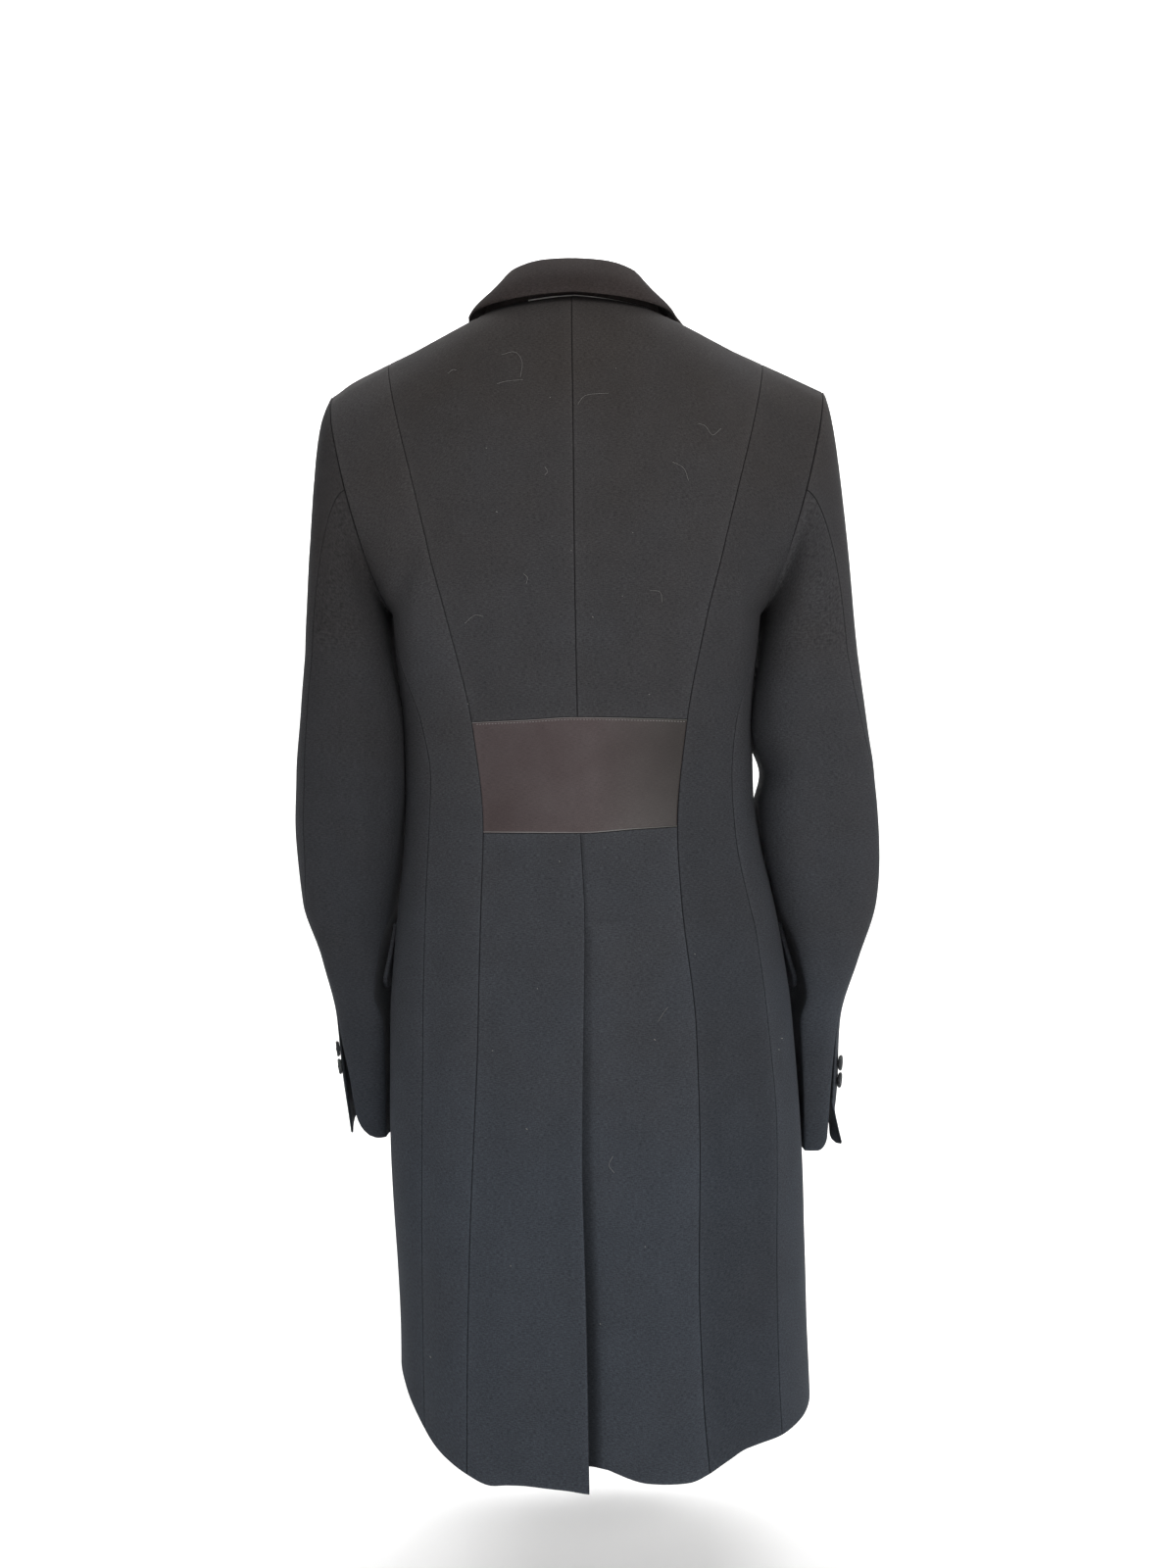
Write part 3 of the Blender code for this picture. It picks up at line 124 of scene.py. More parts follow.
# How much higher the waist panel's upper and lower edges lie, from its right end (-1) by the
# centre seam (0) to its left end (1).
WAIST_EDGE_RISE = (
    # share, upper, lower
    (-1.0, 0.0037, 0.0048), (-0.5, 0.0044, 0.0028), (0.0, 0.005, 0.0), (0.45, 0.0028, 0.0),
    (1.0, 0.0012, 0.0),
)
WAIST_RISE_FADE = 0.090   # height above and below the panel over which this fades out
# Seam between side back and front, down from the underarm point.
SIDE_SEAM = (
    # z, left, right
    (-0.96, 0.124, 0.17), (-0.87, 0.1265, 0.1645), (-0.77, 0.127, 0.1625), (-0.68, 0.1274, 0.164),
    (-0.6, 0.127, 0.159), (-0.52, 0.1262, 0.15), (-0.44, 0.124, 0.135), (-0.39, 0.1225, 0.1325),
    (-0.345, 0.13, 0.136), (-0.3, 0.146, 0.149), (-0.25, 0.16, 0.16),
)
# Front edge, from the hem's rounded corner past the button to the lapel's roll line.
FRONT_EDGE = (
    # z, x from the middle, minus is past it
    (-0.96, 0.13), (-0.935, 0.082), (-0.9, 0.05), (-0.84, 0.025), (-0.74, 0.005), (-0.6, -0.01),
    (-0.48, -0.016), (-0.39, -0.016), (-0.35, -0.008), (-0.25, 0.02), (-0.15, 0.045),
    (-0.06, 0.067), (0.01, 0.0845), (0.03, 0.086),
)
# How much higher than HEM_Z the hem lies, from centre back (0) by the side (1) to the front (2).
HEM_RISE = (
    # w, left, right
    (0.0, 0.0, 0.0148), (0.1, 0.0005, 0.0062), (0.21, 0.0015, 0.004), (0.27, 0.0, 0.008),
    (0.33, -0.0028, 0.0145), (0.41, 0.0015, 0.0225), (0.5, 0.0093, 0.0238), (0.6, 0.0205, 0.024),
    (0.73, 0.037, 0.024), (0.85, 0.05, 0.0255), (1.0, 0.055, 0.027), (1.4, 0.052, 0.029),
    (2.0, 0.045, 0.032),
)
HEM_SHIFT_TOP = -0.560    # the hem's rise fades out at this height
# The two sleeves differ in pose.  Rings of the sleeve tube, cuff to upper arm: its middle, how
# far it reaches outwards, inwards and fore and aft, and where its two seams lie.
SLEEVE_TUBE = {
    1: (
        # z, mid_x, mid_y, outer, inner, half_y, hind, fore
        (-0.709, 0.1845, -0.0545, 0.021, 0.028, 0.057, 0.328, 0.8),
        (-0.655, 0.187, -0.05, 0.0262, 0.029, 0.056, 0.35, 0.8),
        (-0.605, 0.188, -0.041, 0.029, 0.03, 0.056, 0.388, 0.8),
        (-0.55, 0.1965, -0.031, 0.0317, 0.036, 0.057, 0.395, 0.8),
        (-0.5, 0.206, -0.021, 0.0372, 0.046, 0.0585, 0.36, 0.8),
        (-0.45, 0.206, -0.012, 0.0398, 0.052, 0.061, 0.335, 0.79),
        (-0.39, 0.2035, -0.005, 0.0408, 0.054, 0.064, 0.333, 0.78),
        (-0.33, 0.202, -0.001, 0.037, 0.05, 0.066, 0.335, 0.77),
        (-0.285, 0.201, 0.001, 0.0335, 0.042, 0.067, 0.33, 0.76),
    ),
    -1: (
        # z, mid_x, mid_y, outer, inner, half_y, hind, fore
        (-0.72, 0.213, -0.055, 0.0185, 0.03, 0.057, 0.326, 0.8),
        (-0.665, 0.214, -0.05, 0.0238, 0.031, 0.056, 0.332, 0.8),
        (-0.605, 0.212, -0.041, 0.0265, 0.031, 0.056, 0.36, 0.8),
        (-0.55, 0.22, -0.031, 0.032, 0.038, 0.057, 0.43, 0.8),
        (-0.5, 0.2245, -0.021, 0.0412, 0.056, 0.0585, 0.445, 0.8),
        (-0.45, 0.22, -0.012, 0.047, 0.062, 0.061, 0.425, 0.79),
        (-0.415, 0.216, -0.008, 0.048, 0.058, 0.0625, 0.41, 0.785),
        (-0.385, 0.2118, -0.005, 0.0482, 0.048, 0.064, 0.393, 0.78),
        (-0.35, 0.2085, -0.002, 0.0452, 0.056, 0.0655, 0.368, 0.775),
        (-0.285, 0.205, 0.001, 0.04, 0.046, 0.067, 0.33, 0.76),
    ),
}
# Room left between the body and the sleeve where the sleeve rests against the side.
SLEEVE_ROOM = (
    # z, room
    (-0.74, 0.004), (-0.605, 0.006), (-0.578, 0.015), (-0.535, 0.012), (-0.5, 0.0035),
    (-0.33, 0.0025), (-0.285, 0.004),
)
HEAD_HIND = 0.28          # ends of the top sleeve where it meets the armhole
HEAD_FORE = 0.78
# How far the sleeve follows the shoulder on before it turns down, and the height over which
# it is upright again.
SLEEVE_HEAD = (
    # q, reach, upright, outward
    (0.0, 0.016, 0.012, 0.0), (0.12, 0.013, 0.02, 0.15), (0.25, 0.014, 0.05, 0.6),
    (0.5, 0.013, 0.11, 0.0), (0.75, 0.014, 0.05, 0.6), (0.88, 0.013, 0.02, 0.15),
    (1.0, 0.016, 0.012, 0.0),
)
SLEEVE_ROUND = 0.82       # 1 is an ellipse, less is flatter sided
SLEEVE_ROUND_IN = 0.60    # and on the side that lies against the body
SLEEVE_LEAN = {1: 0.04, -1: 0.11}  # slope of each upper arm's outer side, where the head ends
VENT_LENGTH = 0.110       # open vent of each cuff
VENT_SPREAD = {1: 0.070, -1: 0.030}  # how far round each vent's edges part at the cuff edge
VENT_FLARE = {1: 0.0010, -1: 0.0125}  # how far the top sleeve's edge turns outwards there
FLARE_LENGTH = 0.040      # over this height above the cuff edge
FLARE_WIDTH = 0.030       # and this part of the way round
CUFF_RISE = {1: (0.490, 0.0070), -1: (0.440, 0.0160)}  # place round, and how much it is higher
CUFF_RISE_WIDTH = 0.060
# Collar by station: 0 centre back, 1 shoulder seam, 2 gorge.  Height of the stand, how far the
# fold leans into the neck, how far the fall reaches over the body and how far it stands off it.
COLLAR = (
    # station, stand, lean, reach, stand_off
    (0.0, 0.0285, 0.006, 0.0112, 0.01), (0.35, 0.03, 0.006, 0.0116, 0.0092),
    (0.6, 0.0282, 0.005, 0.0112, 0.0078), (0.8, 0.0185, 0.003, 0.0095, 0.0062),
    (1.0, 0.011, 0.001, 0.0085, 0.0046), (1.2, 0.005, 0.0005, 0.013, 0.004),
    (1.5, 0.0015, 0.0, 0.024, 0.0036), (2.0, 0.0, 0.0, 0.035, 0.0034),
)
GORGE_LEVEL = 0.76        # where the collar ends on the front, part of the way to the shoulder
FOLD_HALF = 0.0028        # half of the fold's thickness at the top of the collar
FOLD_DROP = 0.0014        # how much lower the fold's two shoulders lie than its top
FALL_BELLY = 0.0035       # how far the fall bellies out between its edge and the fold
FLAT_COLLAR_RISE = 0.0034  # height of the collar over the front, where it has no stand
FLAT_COLLAR_BELLY = 0.0012
FOOT_INSET = 0.0030       # the stand's foot is sewn in behind the edge of the back panels
FOOT_RISE = -0.0040
FALL_ROWS = 7             # rows of the collar that belong to its fall, the rest to its stand
# Lapel facing on each front, from its foot up to the peak: how far out its edge lies.
LAPEL = (
    # inner_z, outer_x, outer_z
    (-0.318, 0.02, -0.316), (-0.29, 0.044, -0.284), (-0.245, 0.069, -0.235),
    (-0.195, 0.092, -0.182), (-0.145, 0.112, -0.132), (-0.1, 0.129, -0.092),
    (-0.066, 0.144, -0.066),
)
LAPEL_TOP_Z = -0.052      # gorge end of the lapel's top edge, at the roll line
LAPEL_RISE = CLOTH + 0.0007  # outer face of the facing above the front panel
LAPEL_BELLY = 0.0012
# Pocket flap on each hip.
FLAP_TOP_Z = -0.520
FLAP_LOW_Z = -0.578
FLAP_REAR_W = 1.00        # rear and fore ends, as steps round the body from the side
FLAP_FORE_W = 1.56
FLAP_THICK = 0.0036       # two layers turned together
FLAP_CORNER = 0.010       # rounding of its lower corners
FLAP_FLARE = 0.0055       # how far the rear lower corner stands off the body
FLAP_FLARE_FORE = 0.0030


def smooth(rows, key):
    """Smooth curve through a table whose first column is the key, with no overshoot."""
    table = np.array(rows, dtype=float)
    knots = table[:, 0]
    values = table[:, 1:]
    step = np.diff(knots)[:, None]
    slope = np.diff(values, axis=0) / step
    tangent = np.zeros_like(values)
    both = slope[:-1] * slope[1:]
    total = slope[:-1] + slope[1:]
    total = np.where(np.abs(total) < 1e-12, 1.0, total)
    tangent[1:-1] = np.where(both > 0.0, 2.0 * both / total, 0.0)
    tangent[0] = slope[0]
    tangent[-1] = slope[-1]
    key = np.clip(np.asarray(key, dtype=float), knots[0], knots[-1])
    i = np.clip(np.searchsorted(knots, key, side="right") - 1, 0, len(knots) - 2)
    width = step[i, 0][..., None]
    t = ((key - knots[i])[..., None]) / width
    a = values[i] * (2 * t ** 3 - 3 * t ** 2 + 1)
    b = tangent[i] * width * (t ** 3 - 2 * t ** 2 + t)
    c = values[i + 1] * (3 * t ** 2 - 2 * t ** 3)
    d = tangent[i + 1] * width * (t ** 3 - t ** 2)
    return a + b + c + d


def ease(t):
    t = np.clip(t, 0.0, 1.0)
    return t * t * (3.0 - 2.0 * t)


def bezier(p0, p1, p2, p3, t):
    t = np.asarray(t)[..., None]
    return (p0 * (1 - t) ** 3 + 3 * p1 * t * (1 - t) ** 2
            + 3 * p2 * t * t * (1 - t) + p3 * t ** 3)


def xyz(x, y, z):
    return np.stack(np.broadcast_arrays(x, y, z), axis=-1)


def unit(v):
    return v / np.maximum(np.linalg.norm(v, axis=-1, keepdims=True), 1e-12)


def hem_rise(side, w, z):
    fade = ease((HEM_SHIFT_TOP - z) / (HEM_SHIFT_TOP - HEM_Z))
    return smooth(HEM_RISE, w)[..., column_of(side)] * fade


def row_spread(square, rise):
    """Flatness of a row: the underarm ring's, then the blades', then the shoulder seam's."""
    low = square + (BLADE_RUN - square) * ease(rise / 0.3)
    return low + (RIDGE_RUN - BLADE_RUN) * ease((rise - 0.55) / 0.45)


def by_half(back, behind, ahead, at):
    """One table on the back of the body and another on its front."""
    return np.where(back[..., None], smooth(behind, at), smooth(ahead, at))


def torso(side, w, level):
    """Outer face of the body.

    w runs 0 at centre back, 1 at the side, 2 at centre front.  A level below 0 is metres
    under the underarm; 0 to 1 is the part of the way up to the shoulder ridge.
    """
    w, level = np.broadcast_arrays(np.asarray(w, float), np.asarray(level, float))
    back = w <= 1.0
    s = np.where(back, w, 2.0 - w)
    z = UNDERARM_Z + np.minimum(level, 0.0)
    z = z + hem_rise(side, w, z)
    ring = smooth(TORSO, z)
    half = ring[..., 0] * side
    depth = np.where(back, ring[..., 1], -ring[..., 2])
    mid = ring[..., 3]
    square = ring[..., 4]
    low = bezier(xyz(mid, depth, z), xyz(mid + square * half, depth, z),
                 xyz(mid + half, square * depth, z), xyz(mid + half, 0.0, z), s)
    rise = np.maximum(level, 0.0)
    line = by_half(back, BACK_LINE, FRONT_LINE, rise)
    arm = by_half(back, ARM_BACK, ARM_FRONT, rise)
    start = xyz(0.0, line[..., 0], line[..., 1])
    end = xyz(side * arm[..., 0], arm[..., 1], arm[..., 2])
    run = xyz(side * arm[..., 3], arm[..., 4], arm[..., 5])
    sink = RIDGE_SINK[side] * ease((rise - 0.7) / 0.3)
    first = start + xyz(row_spread(square, rise) * end[..., 0], 0.0, -sink)
    high = bezier(start, first, end - run, end, s)
    return np.where((level > 0.0)[..., None], high, low)


def torso_normal(side, w, level):
    """Unit normal of the body's outer face, pointing outwards."""
    w, level = np.broadcast_arrays(np.asarray(w, float), np.asarray(level, float))
    dw = 0.004
    w0 = np.where(w <= 1.0, np.clip(w - dw, -1.0, 1.0), np.clip(w - dw, 1.0001, 3.0))
    w1 = np.where(w <= 1.0, np.clip(w + dw, -1.0, 1.0), np.clip(w + dw, 1.0001, 3.0))
    across = torso(side, w1, level) - torso(side, w0, level)
    dl = np.where(level > 0.0, 0.004, 0.002)
    up = torso(side, w, np.clip(level + dl, -1.0, 1.0)) - torso(side, w, level - dl)
    normal = unit(np.cross(up, across)) * side
    # Back and front meet upright along the shoulder seam.
    normal[..., 1] *= np.clip((1.0 - level) / 0.06, 0.0, 1.0)
    return unit(normal)


def w_on_line(side, column, table, level, low, high):
    """Where a seam, given as distance from the middle plane by height, crosses each level."""
    level = np.asarray(level, float)
    a = np.full_like(level, low)
    b = np.full_like(level, high)
    for _ in range(40):
        m = 0.5 * (a + b)
        p = torso(side, m, level)
        inside = side * p[..., 0] < smooth(table, p[..., 2])[..., column]
        # The distance grows with w on the back and shrinks on the front.
        further = inside if low < 1.0 else ~inside
        a = np.where(further, m, a)
        b = np.where(further, b, m)
    return 0.5 * (a + b)


def centre_w(side, level):
    """Where the centre-back seam runs, a little to one side of the middle of the back."""
    rise = np.maximum(level, 0.0)
    z = UNDERARM_Z + np.minimum(level, 0.0)
    ring = smooth(TORSO, z)
    off = smooth(CENTRE_SEAM, z)[..., 0] - ring[..., 3] + SEAM_LEAN * rise
    reach = np.where(rise > 0.0, smooth(ARM_BACK, rise)[..., 0], ring[..., 0])
    return side * off / (3 * row_spread(ring[..., 4], rise) * reach)


def waist_rise(side, share, level):
    """How much higher a place of the centre back lies, within and beside the waist panel."""
    edges = smooth(WAIST_EDGE_RISE, side * share)
    top = WAIST_TOP_Z - UNDERARM_Z
    low = WAIST_LOW_Z - UNDERARM_Z
    t = np.clip((level - low) / (top - low), 0.0, 1.0)
    away = np.maximum(level - top, low - level)
    fade = 1.0 - np.clip(away / WAIST_RISE_FADE, 0.0, 1.0)
    return (edges[..., 0] * t + edges[..., 1] * (1.0 - t)) * fade


def centre_back(side, levels, share):
    """Places of the centre back between its middle seam (share 0) and its outer seam (1)."""
    share = np.asarray(share, float)[None, :]
    level = np.asarray(levels, float)[:, None] + 0 * share
    level = level + waist_rise(side, share, level)
    w = centre_w(side, level) * (1 - share) + princess_w(side, level) * share
    return w, level


def column_of(side):
    return 0 if side > 0 else 1


def princess_w(side, level):
    return w_on_line(side, column_of(side), PRINCESS, level, 0.0, 1.0)


def side_seam_w(side, level):
    """Side seam below the underarm, and the armhole edge above it."""
    level = np.asarray(level, float)
    found = w_on_line(side, column_of(side), SIDE_SEAM, np.minimum(level, 0.0), 0.0, 1.0)
    return np.where(level >= 0.0, 1.0, found)


def front_edge_w(side, level):
    return w_on_line(side, 0, FRONT_EDGE_WORLD[side], level, 1.0, 2.3)


def front_edge_table(side):
    """The front edge measured from the middle plane, with the body's lean added."""
    rows = []
    for z, x in FRONT_EDGE:
        lean = float(smooth(TORSO, min(z, UNDERARM_Z))[3])
        rows.append((z, x + side * lean))
    return tuple(rows)


FRONT_EDGE_WORLD = {1: front_edge_table(1), -1: front_edge_table(-1)}


def armhole(side, q):
    """Armhole edge (q 0 underarm, 0.25 back, 0.5 shoulder tip, 0.75 front), the panel's normal
    there, and the direction in which the panel would run on."""
    point, back, level, arm = armhole_edge(side, q)
    normal = torso_normal(side, np.where(back, 1.0, FRONT_START_W), np.maximum(level, 1e-4))
    run = unit(xyz(side * arm[..., 3], arm[..., 4], arm[..., 5]))
    upward = (1.0 - ease(level / 0.35))[..., None] * np.array([0.0, 0.0, 1.0])
    run = run * ease(level / 0.35)[..., None] + upward
    ahead = armhole_edge(side, q + 0.003)[0]
    onward = np.cross(normal, ahead - armhole_edge(side, q - 0.003)[0])
    onward = onward * np.sign(np.sum(onward * run, axis=-1, keepdims=True))
    return point, normal, unit(onward)


def body_edge(side, y, z):
    """How far out the body reaches at depth y, on the level z, below the underarm."""
    w = np.linspace(0.45, 1.65, 49)
    out = np.empty(np.shape(y))
    flat_y = np.asarray(y).reshape(-1)
    flat_z = np.asarray(z).reshape(-1)
    levels, place = np.unique(np.round(flat_z, 5), return_inverse=True)
    flat = out.reshape(-1)
    for i, height in enumerate(levels):
        ring = torso(side, w, np.full_like(w, min(height - UNDERARM_Z, 0.0)))
        chosen = place.reshape(-1) == i
        flat[chosen] = np.interp(-flat_y[chosen], -ring[:, 1], side * ring[:, 0])
    return flat.reshape(np.shape(y))


def sleeve_ring(side, q, z):
    row = smooth(SLEEVE_TUBE[side], z)
    angle = 2 * math.pi * np.asarray(q)
    across = np.cos(angle)
    along = np.sin(angle)
    outwards = row[..., 2] * np.maximum(-across, 0.0) ** SLEEVE_ROUND
    inwards = row[..., 3] * np.maximum(across, 0.0) ** SLEEVE_ROUND_IN
    x = row[..., 0] + outwards - inwards
    y = row[..., 1] + row[..., 4] * np.sign(along) * np.abs(along) ** SLEEVE_ROUND
    z = np.broadcast_to(z, x.shape)
    room = body_edge(side, y, z) + smooth(SLEEVE_ROOM, z)[..., 0]
    return xyz(side * np.maximum(x, room), y, z)


def sleeve_point(side, q, v):
    """v 0 to 1 is the sleeve head from the armhole down, beyond 1 metres below it."""
    q, v = np.broadcast_arrays(np.asarray(q, float), np.asarray(v, float))
    top, _, onward = armhole(side, q)
    head_z = SLEEVE_TUBE[side][-1][0]
    top = top + onward * SEAM_GAP
    head = smooth(SLEEVE_HEAD, q)
    ring = sleeve_ring(side, q, head_z - np.maximum(v - 1.0, 0.0))
    lean = -side * SLEEVE_LEAN[side] * np.sin(math.pi * q) ** 2
    upright = xyz(lean, 0.0, 1.0) * head[..., 1:2]
    leave = unit(onward + head[..., 2:3] * np.array([side, 0.0, 0.0])) * head[..., :1]
    high = bezier(top, top + leave, ring + upright, ring, np.clip(v, 0, 1))
    return np.where((v < 1.0)[..., None], high, ring)


def sleeve_normal(side, q, v):
    dq, dv = 0.004, 0.012
    ahead = sleeve_point(side, np.clip(q + dq, 0, 1), v)
    behind = sleeve_point(side, np.clip(q - dq, 0, 1), v)
    down = sleeve_point(side, q, v + dv) - sleeve_point(side, q, np.maximum(v - dv, 0.0))
    return unit(np.cross(ahead - behind, down)) * side


def vent_half(side, depth):
    """Half of the vent's width, as a part of the way round, at a depth below its top."""
    left = 1.0 - np.clip(depth / VENT_LENGTH, 0.0, 1.0)
    return 0.5 * VENT_SPREAD[side] * (1.0 - left ** 2)


def vent_flare(side, round_from_edge, height):
    """How the top sleeve's edge turns outwards beside the vent, at a height above the cuff."""
    low = np.clip(1.0 - height / FLARE_LENGTH, 0.0, 1.0)
    near = np.exp(-(round_from_edge / FLARE_WIDTH) ** 2)
    return xyz(side * VENT_FLARE[side] * low * near, 0.0, 0.0)


def cuff_rise(side, q, height):
    """How the cuff edge lies higher on the outer side of the arm."""
    middle, rise = CUFF_RISE[side]
    low = np.clip(1.0 - height / FLARE_LENGTH, 0.0, 1.0)
    return xyz(0.0, 0.0, rise * low * np.exp(-((q - middle) / CUFF_RISE_WIDTH) ** 2))


def slopes(side, w, level):
    """A place on the body, and how it moves with w and with level."""
    d = SLOPE_STEP
    return (torso(side, w, level),
            (torso(side, w + d, level) - torso(side, w - d, level)) / (2 * d),
            (torso(side, w, level + d) - torso(side, w, level - d)) / (2 * d))


def project(side, target, w, level):
    """Place on the body's outer face nearest to each target point, searched from (w, level)."""
    w = np.array(w, dtype=float) + 0 * target[..., 0]
    level = np.array(level, dtype=float) + 0 * target[..., 0]
    low = np.where(w <= 1.0, -0.3, FRONT_START_W)
    high = np.where(w <= 1.0, 1.0, 2.3)
    for _ in range(12):
        here, step_w, step_l = slopes(side, w, level)
        miss = target - here
        a, b, c, e, f = (np.sum(p * q, axis=-1) for p, q in (
            (step_w, step_w), (step_w, step_l), (step_l, step_l), (step_w, miss), (step_l, miss)))
        det = np.maximum(a * c - b * b, 1e-12)
        w = np.clip(w + np.clip((e * c - f * b) / det, -0.1, 0.1), low, high)
        level = np.clip(level + np.clip((a * f - b * e) / det, -0.1, 0.1), -0.7, 0.999)
    return w, level


def place_seen(side, x, z, w, level, w_range, level_range, rounds):
    """Place on the body seen at (x, z) from straight in front or behind."""
    for _ in range(rounds):
        here, step_w, step_l = slopes(side, w, level)
        dx, dz = x - here[..., 0], z - here[..., 2]
        det = step_w[..., 0] * step_l[..., 2] - step_w[..., 2] * step_l[..., 0]
        det = np.where(np.abs(det) < 1e-9, 1e-9, det)
        w = w + np.clip((dx * step_l[..., 2] - dz * step_l[..., 0]) / det, -0.15, 0.15)
        level = level + np.clip((step_w[..., 0] * dz - step_w[..., 2] * dx) / det, -0.15, 0.15)
        w, level = np.clip(w, *w_range), np.clip(level, *level_range)
    return w, level


def neck_w(side):
    """Where the neck opening meets the shoulder seam."""
    flat = ((-1.0, NECK_HALF[side]), (1.0, NECK_HALF[side]))
    return float(w_on_line(side, 0, flat, np.array([1.0]), 0.0, 1.0)[0])


def neck_ceiling(w, end_w):
    """Level of the neck seam above a place across the back."""
    inside = np.clip(1.0 - (w / end_w) ** 2, 0.0, 1.0)
    return 1.0 - (1.0 - BACK_NECK_LEVEL) * np.sqrt(inside)


def neckline(side, station):
    """Point of the neck seam or roll line, the body's normal and the way into the opening."""
    end_w = neck_w(side)
    station = np.asarray(station, float)
    back = station <= 1.0
    back_w = np.minimum(station, 1.0) * end_w
    front_level = gorge_level(np.clip(station - 1.0, 0.0, 1.0))
    w = np.where(back, back_w, front_edge_w(side, front_level))
    level = np.where(back, neck_ceiling(back_w, end_w), front_level)
    point = torso(side, w, level)
    normal = torso_normal(side, w, level)
    near = neck_track(side, station + 0.01) - neck_track(side, station - 0.01)
    inward = unit(np.cross(normal, near)) * -side
    return point, normal, inward, w, level


def gorge_level(part):
    """Level of the roll line, from the shoulder seam (0) down to the gorge (1)."""
    return 1.0 - (1.0 - GORGE_LEVEL) * part


def neck_track(side, station):
    """The neck seam and the roll line as one line, mirrored past the centre back."""
    end_w = neck_w(side)
    station = np.asarray(station, float)
    back_w = np.clip(np.abs(station), 0.0, 1.0) * end_w
    mirror = np.where(station < 0.0, -1.0, 1.0)
    front_level = gorge_level(np.maximum(station - 1.0, 0.0))
    back_point = torso(side, back_w, neck_ceiling(back_w, end_w)) * xyz(mirror, 1.0, 1.0)
    front_point = torso(side, front_edge_w(side, front_level), front_level)
    return np.where((station <= 1.0)[..., None], back_point, front_point)


def collar_half(side, stations):
    """Rows from the fall's edge over the fold to the foot of the stand, for one side."""
    row = smooth(COLLAR, stations)
    stand, lean, reach, off = (row[..., i:i + 1] for i in range(4))
    point, normal, inward, w, level = neckline(side, stations)
    up = np.array([0.0, 0.0, 1.0])
    standing = np.clip(stand / 0.006, 0.0, 1.0)
    target = point - inward * reach
    edge_w, edge_level = project(side, target, w, np.minimum(level, 0.98))
    edge = torso(side, edge_w, edge_level) + torso_normal(side, edge_w, edge_level) * off
    fold = point + inward * lean + up * stand + normal * FLAT_COLLAR_RISE * (1 - standing)
    flat_in = unit(inward * np.array([1.0, 1.0, 0.0]))
    foot = point + flat_in * FOOT_INSET + up * FOOT_RISE
    out = unit((edge - fold) * np.array([1.0, 1.0, 0.0]) + normal * 1e-4)
    lines = []
    for t in (0.0, 0.25, 0.5, 0.75, 1.0):
        belly = math.sin(math.pi * min(t * 0.9 + 0.1, 1.0)) * FALL_BELLY
        lines.append(edge * (1 - t) + fold * t + out * belly * standing
                     + normal * FLAT_COLLAR_BELLY * math.sin(math.pi * t) * (1 - standing))
    lines.append(fold + (flat_in * FOLD_HALF + up * FOLD_DROP) * standing
                 + inward * 0.0010 * (1 - standing))
    inside = (fold + (flat_in * 2 * FOLD_HALF - up * FOLD_DROP) * standing
              + inward * 0.0020 * (1 - standing))
    lines.append(inside)
    for t in (0.15, 0.5, 1.0):
        lines.append(inside * (1 - t) + foot * t)
    return np.stack(lines, axis=0)


def place_on_front(side, x, z, level):
    """Place on the front panel seen from the front at (x, z)."""
    return place_seen(side, x, z, np.full_like(x, 1.6), level, (1.01, 2.25), (-0.7, 0.995), 16)


def place_on_back(side, x, z):
    """Place on the back seen from behind at (x, z)."""
    level = np.where(z < UNDERARM_Z, z - UNDERARM_Z,
                     (z - UNDERARM_Z) / (RIDGE_Z - UNDERARM_Z) * 0.9)
    return place_seen(side, x, z, np.full_like(x, 0.3), level, (-0.25, 0.99), (-0.69, 0.98), 20)


def armhole_edge(side, q):
    """The armhole as one smooth line."""
    q = np.asarray(q, float) % 1.0
    back = q <= 0.5
    level = np.where(back, 2 * q, 2 * (1 - q))
    arm = by_half(back, ARM_BACK, ARM_FRONT, level)
    return xyz(side * arm[..., 0], arm[..., 1], arm[..., 2]), back, level, arm


# ---- looks: sizes
CELL = 0.0042             # usual grid cell of the cloth
SEAM_STEPS = (0.0, 0.00025, 0.0006, 0.0011, 0.0019, 0.0032)  # rows and columns beside an edge
SEAM_ROLL = 0.0011        # radius with which cloth turns in at a seam
HEM_ROLL = 0.0010         # and at a hem
SEAM_SHADE = 0.004        # how far beside an edge the cloth's tone still changes
LEVEL_SPAN = 0.33         # metres of cloth from the underarm level to the shoulder ridge
EDGES = ("left", "right", "bottom", "top")
# Widths and lengths over which the grid cells of each piece are spread.
UPPER_WIDTH, WAIST_WIDTH, SKIRT_WIDTH = 0.125, 0.084, 0.088
LAPEL_WIDTH, LAPEL_LENGTH, FLAP_WIDTH, HEAD_RUN = 0.075, 0.30, 0.15, 0.085
SKIRT_FALL = 0.38         # height over which the vent opens, down to near the hem
# How the left shoulder point sinks: where, over which span and how far.
SHOULDER_POINT = np.array([0.219, 0.0, -0.050])
SETTLE_SPAN = np.array([0.016, 0.060, 0.030])
SETTLE_DROP = np.array([0.0020, 0.0, 0.0045])
BODY_SEED, WAIST_SEED = 11, 31  # one ripple runs over all body panels, one over the satin
WAIST_RIPPLE = 0.0006     # height of the ripples on the satin, and on the sleeves
SLEEVE_RIPPLE = 0.0007
SLEEVE_GIRTH = 0.31       # metres round a sleeve, to place its folds
LEAST_FILL = 0.31         # a cut piece fills at least this part of its flat rectangle
RING = 6                  # points round a thread
THREAD_GUIDE = np.array([0.31, 0.87, 0.38])  # no thread runs this way
STITCH_LENGTH = 0.0013    # of the waist seam, and half of a button's stitch
STITCH_RISE = 0.0003      # how far a button's stitch arches up
STITCH_APART = 0.0008     # half of the distance between its two stitches
FINE_THREAD = 0.00022     # radius of the stitches' thread
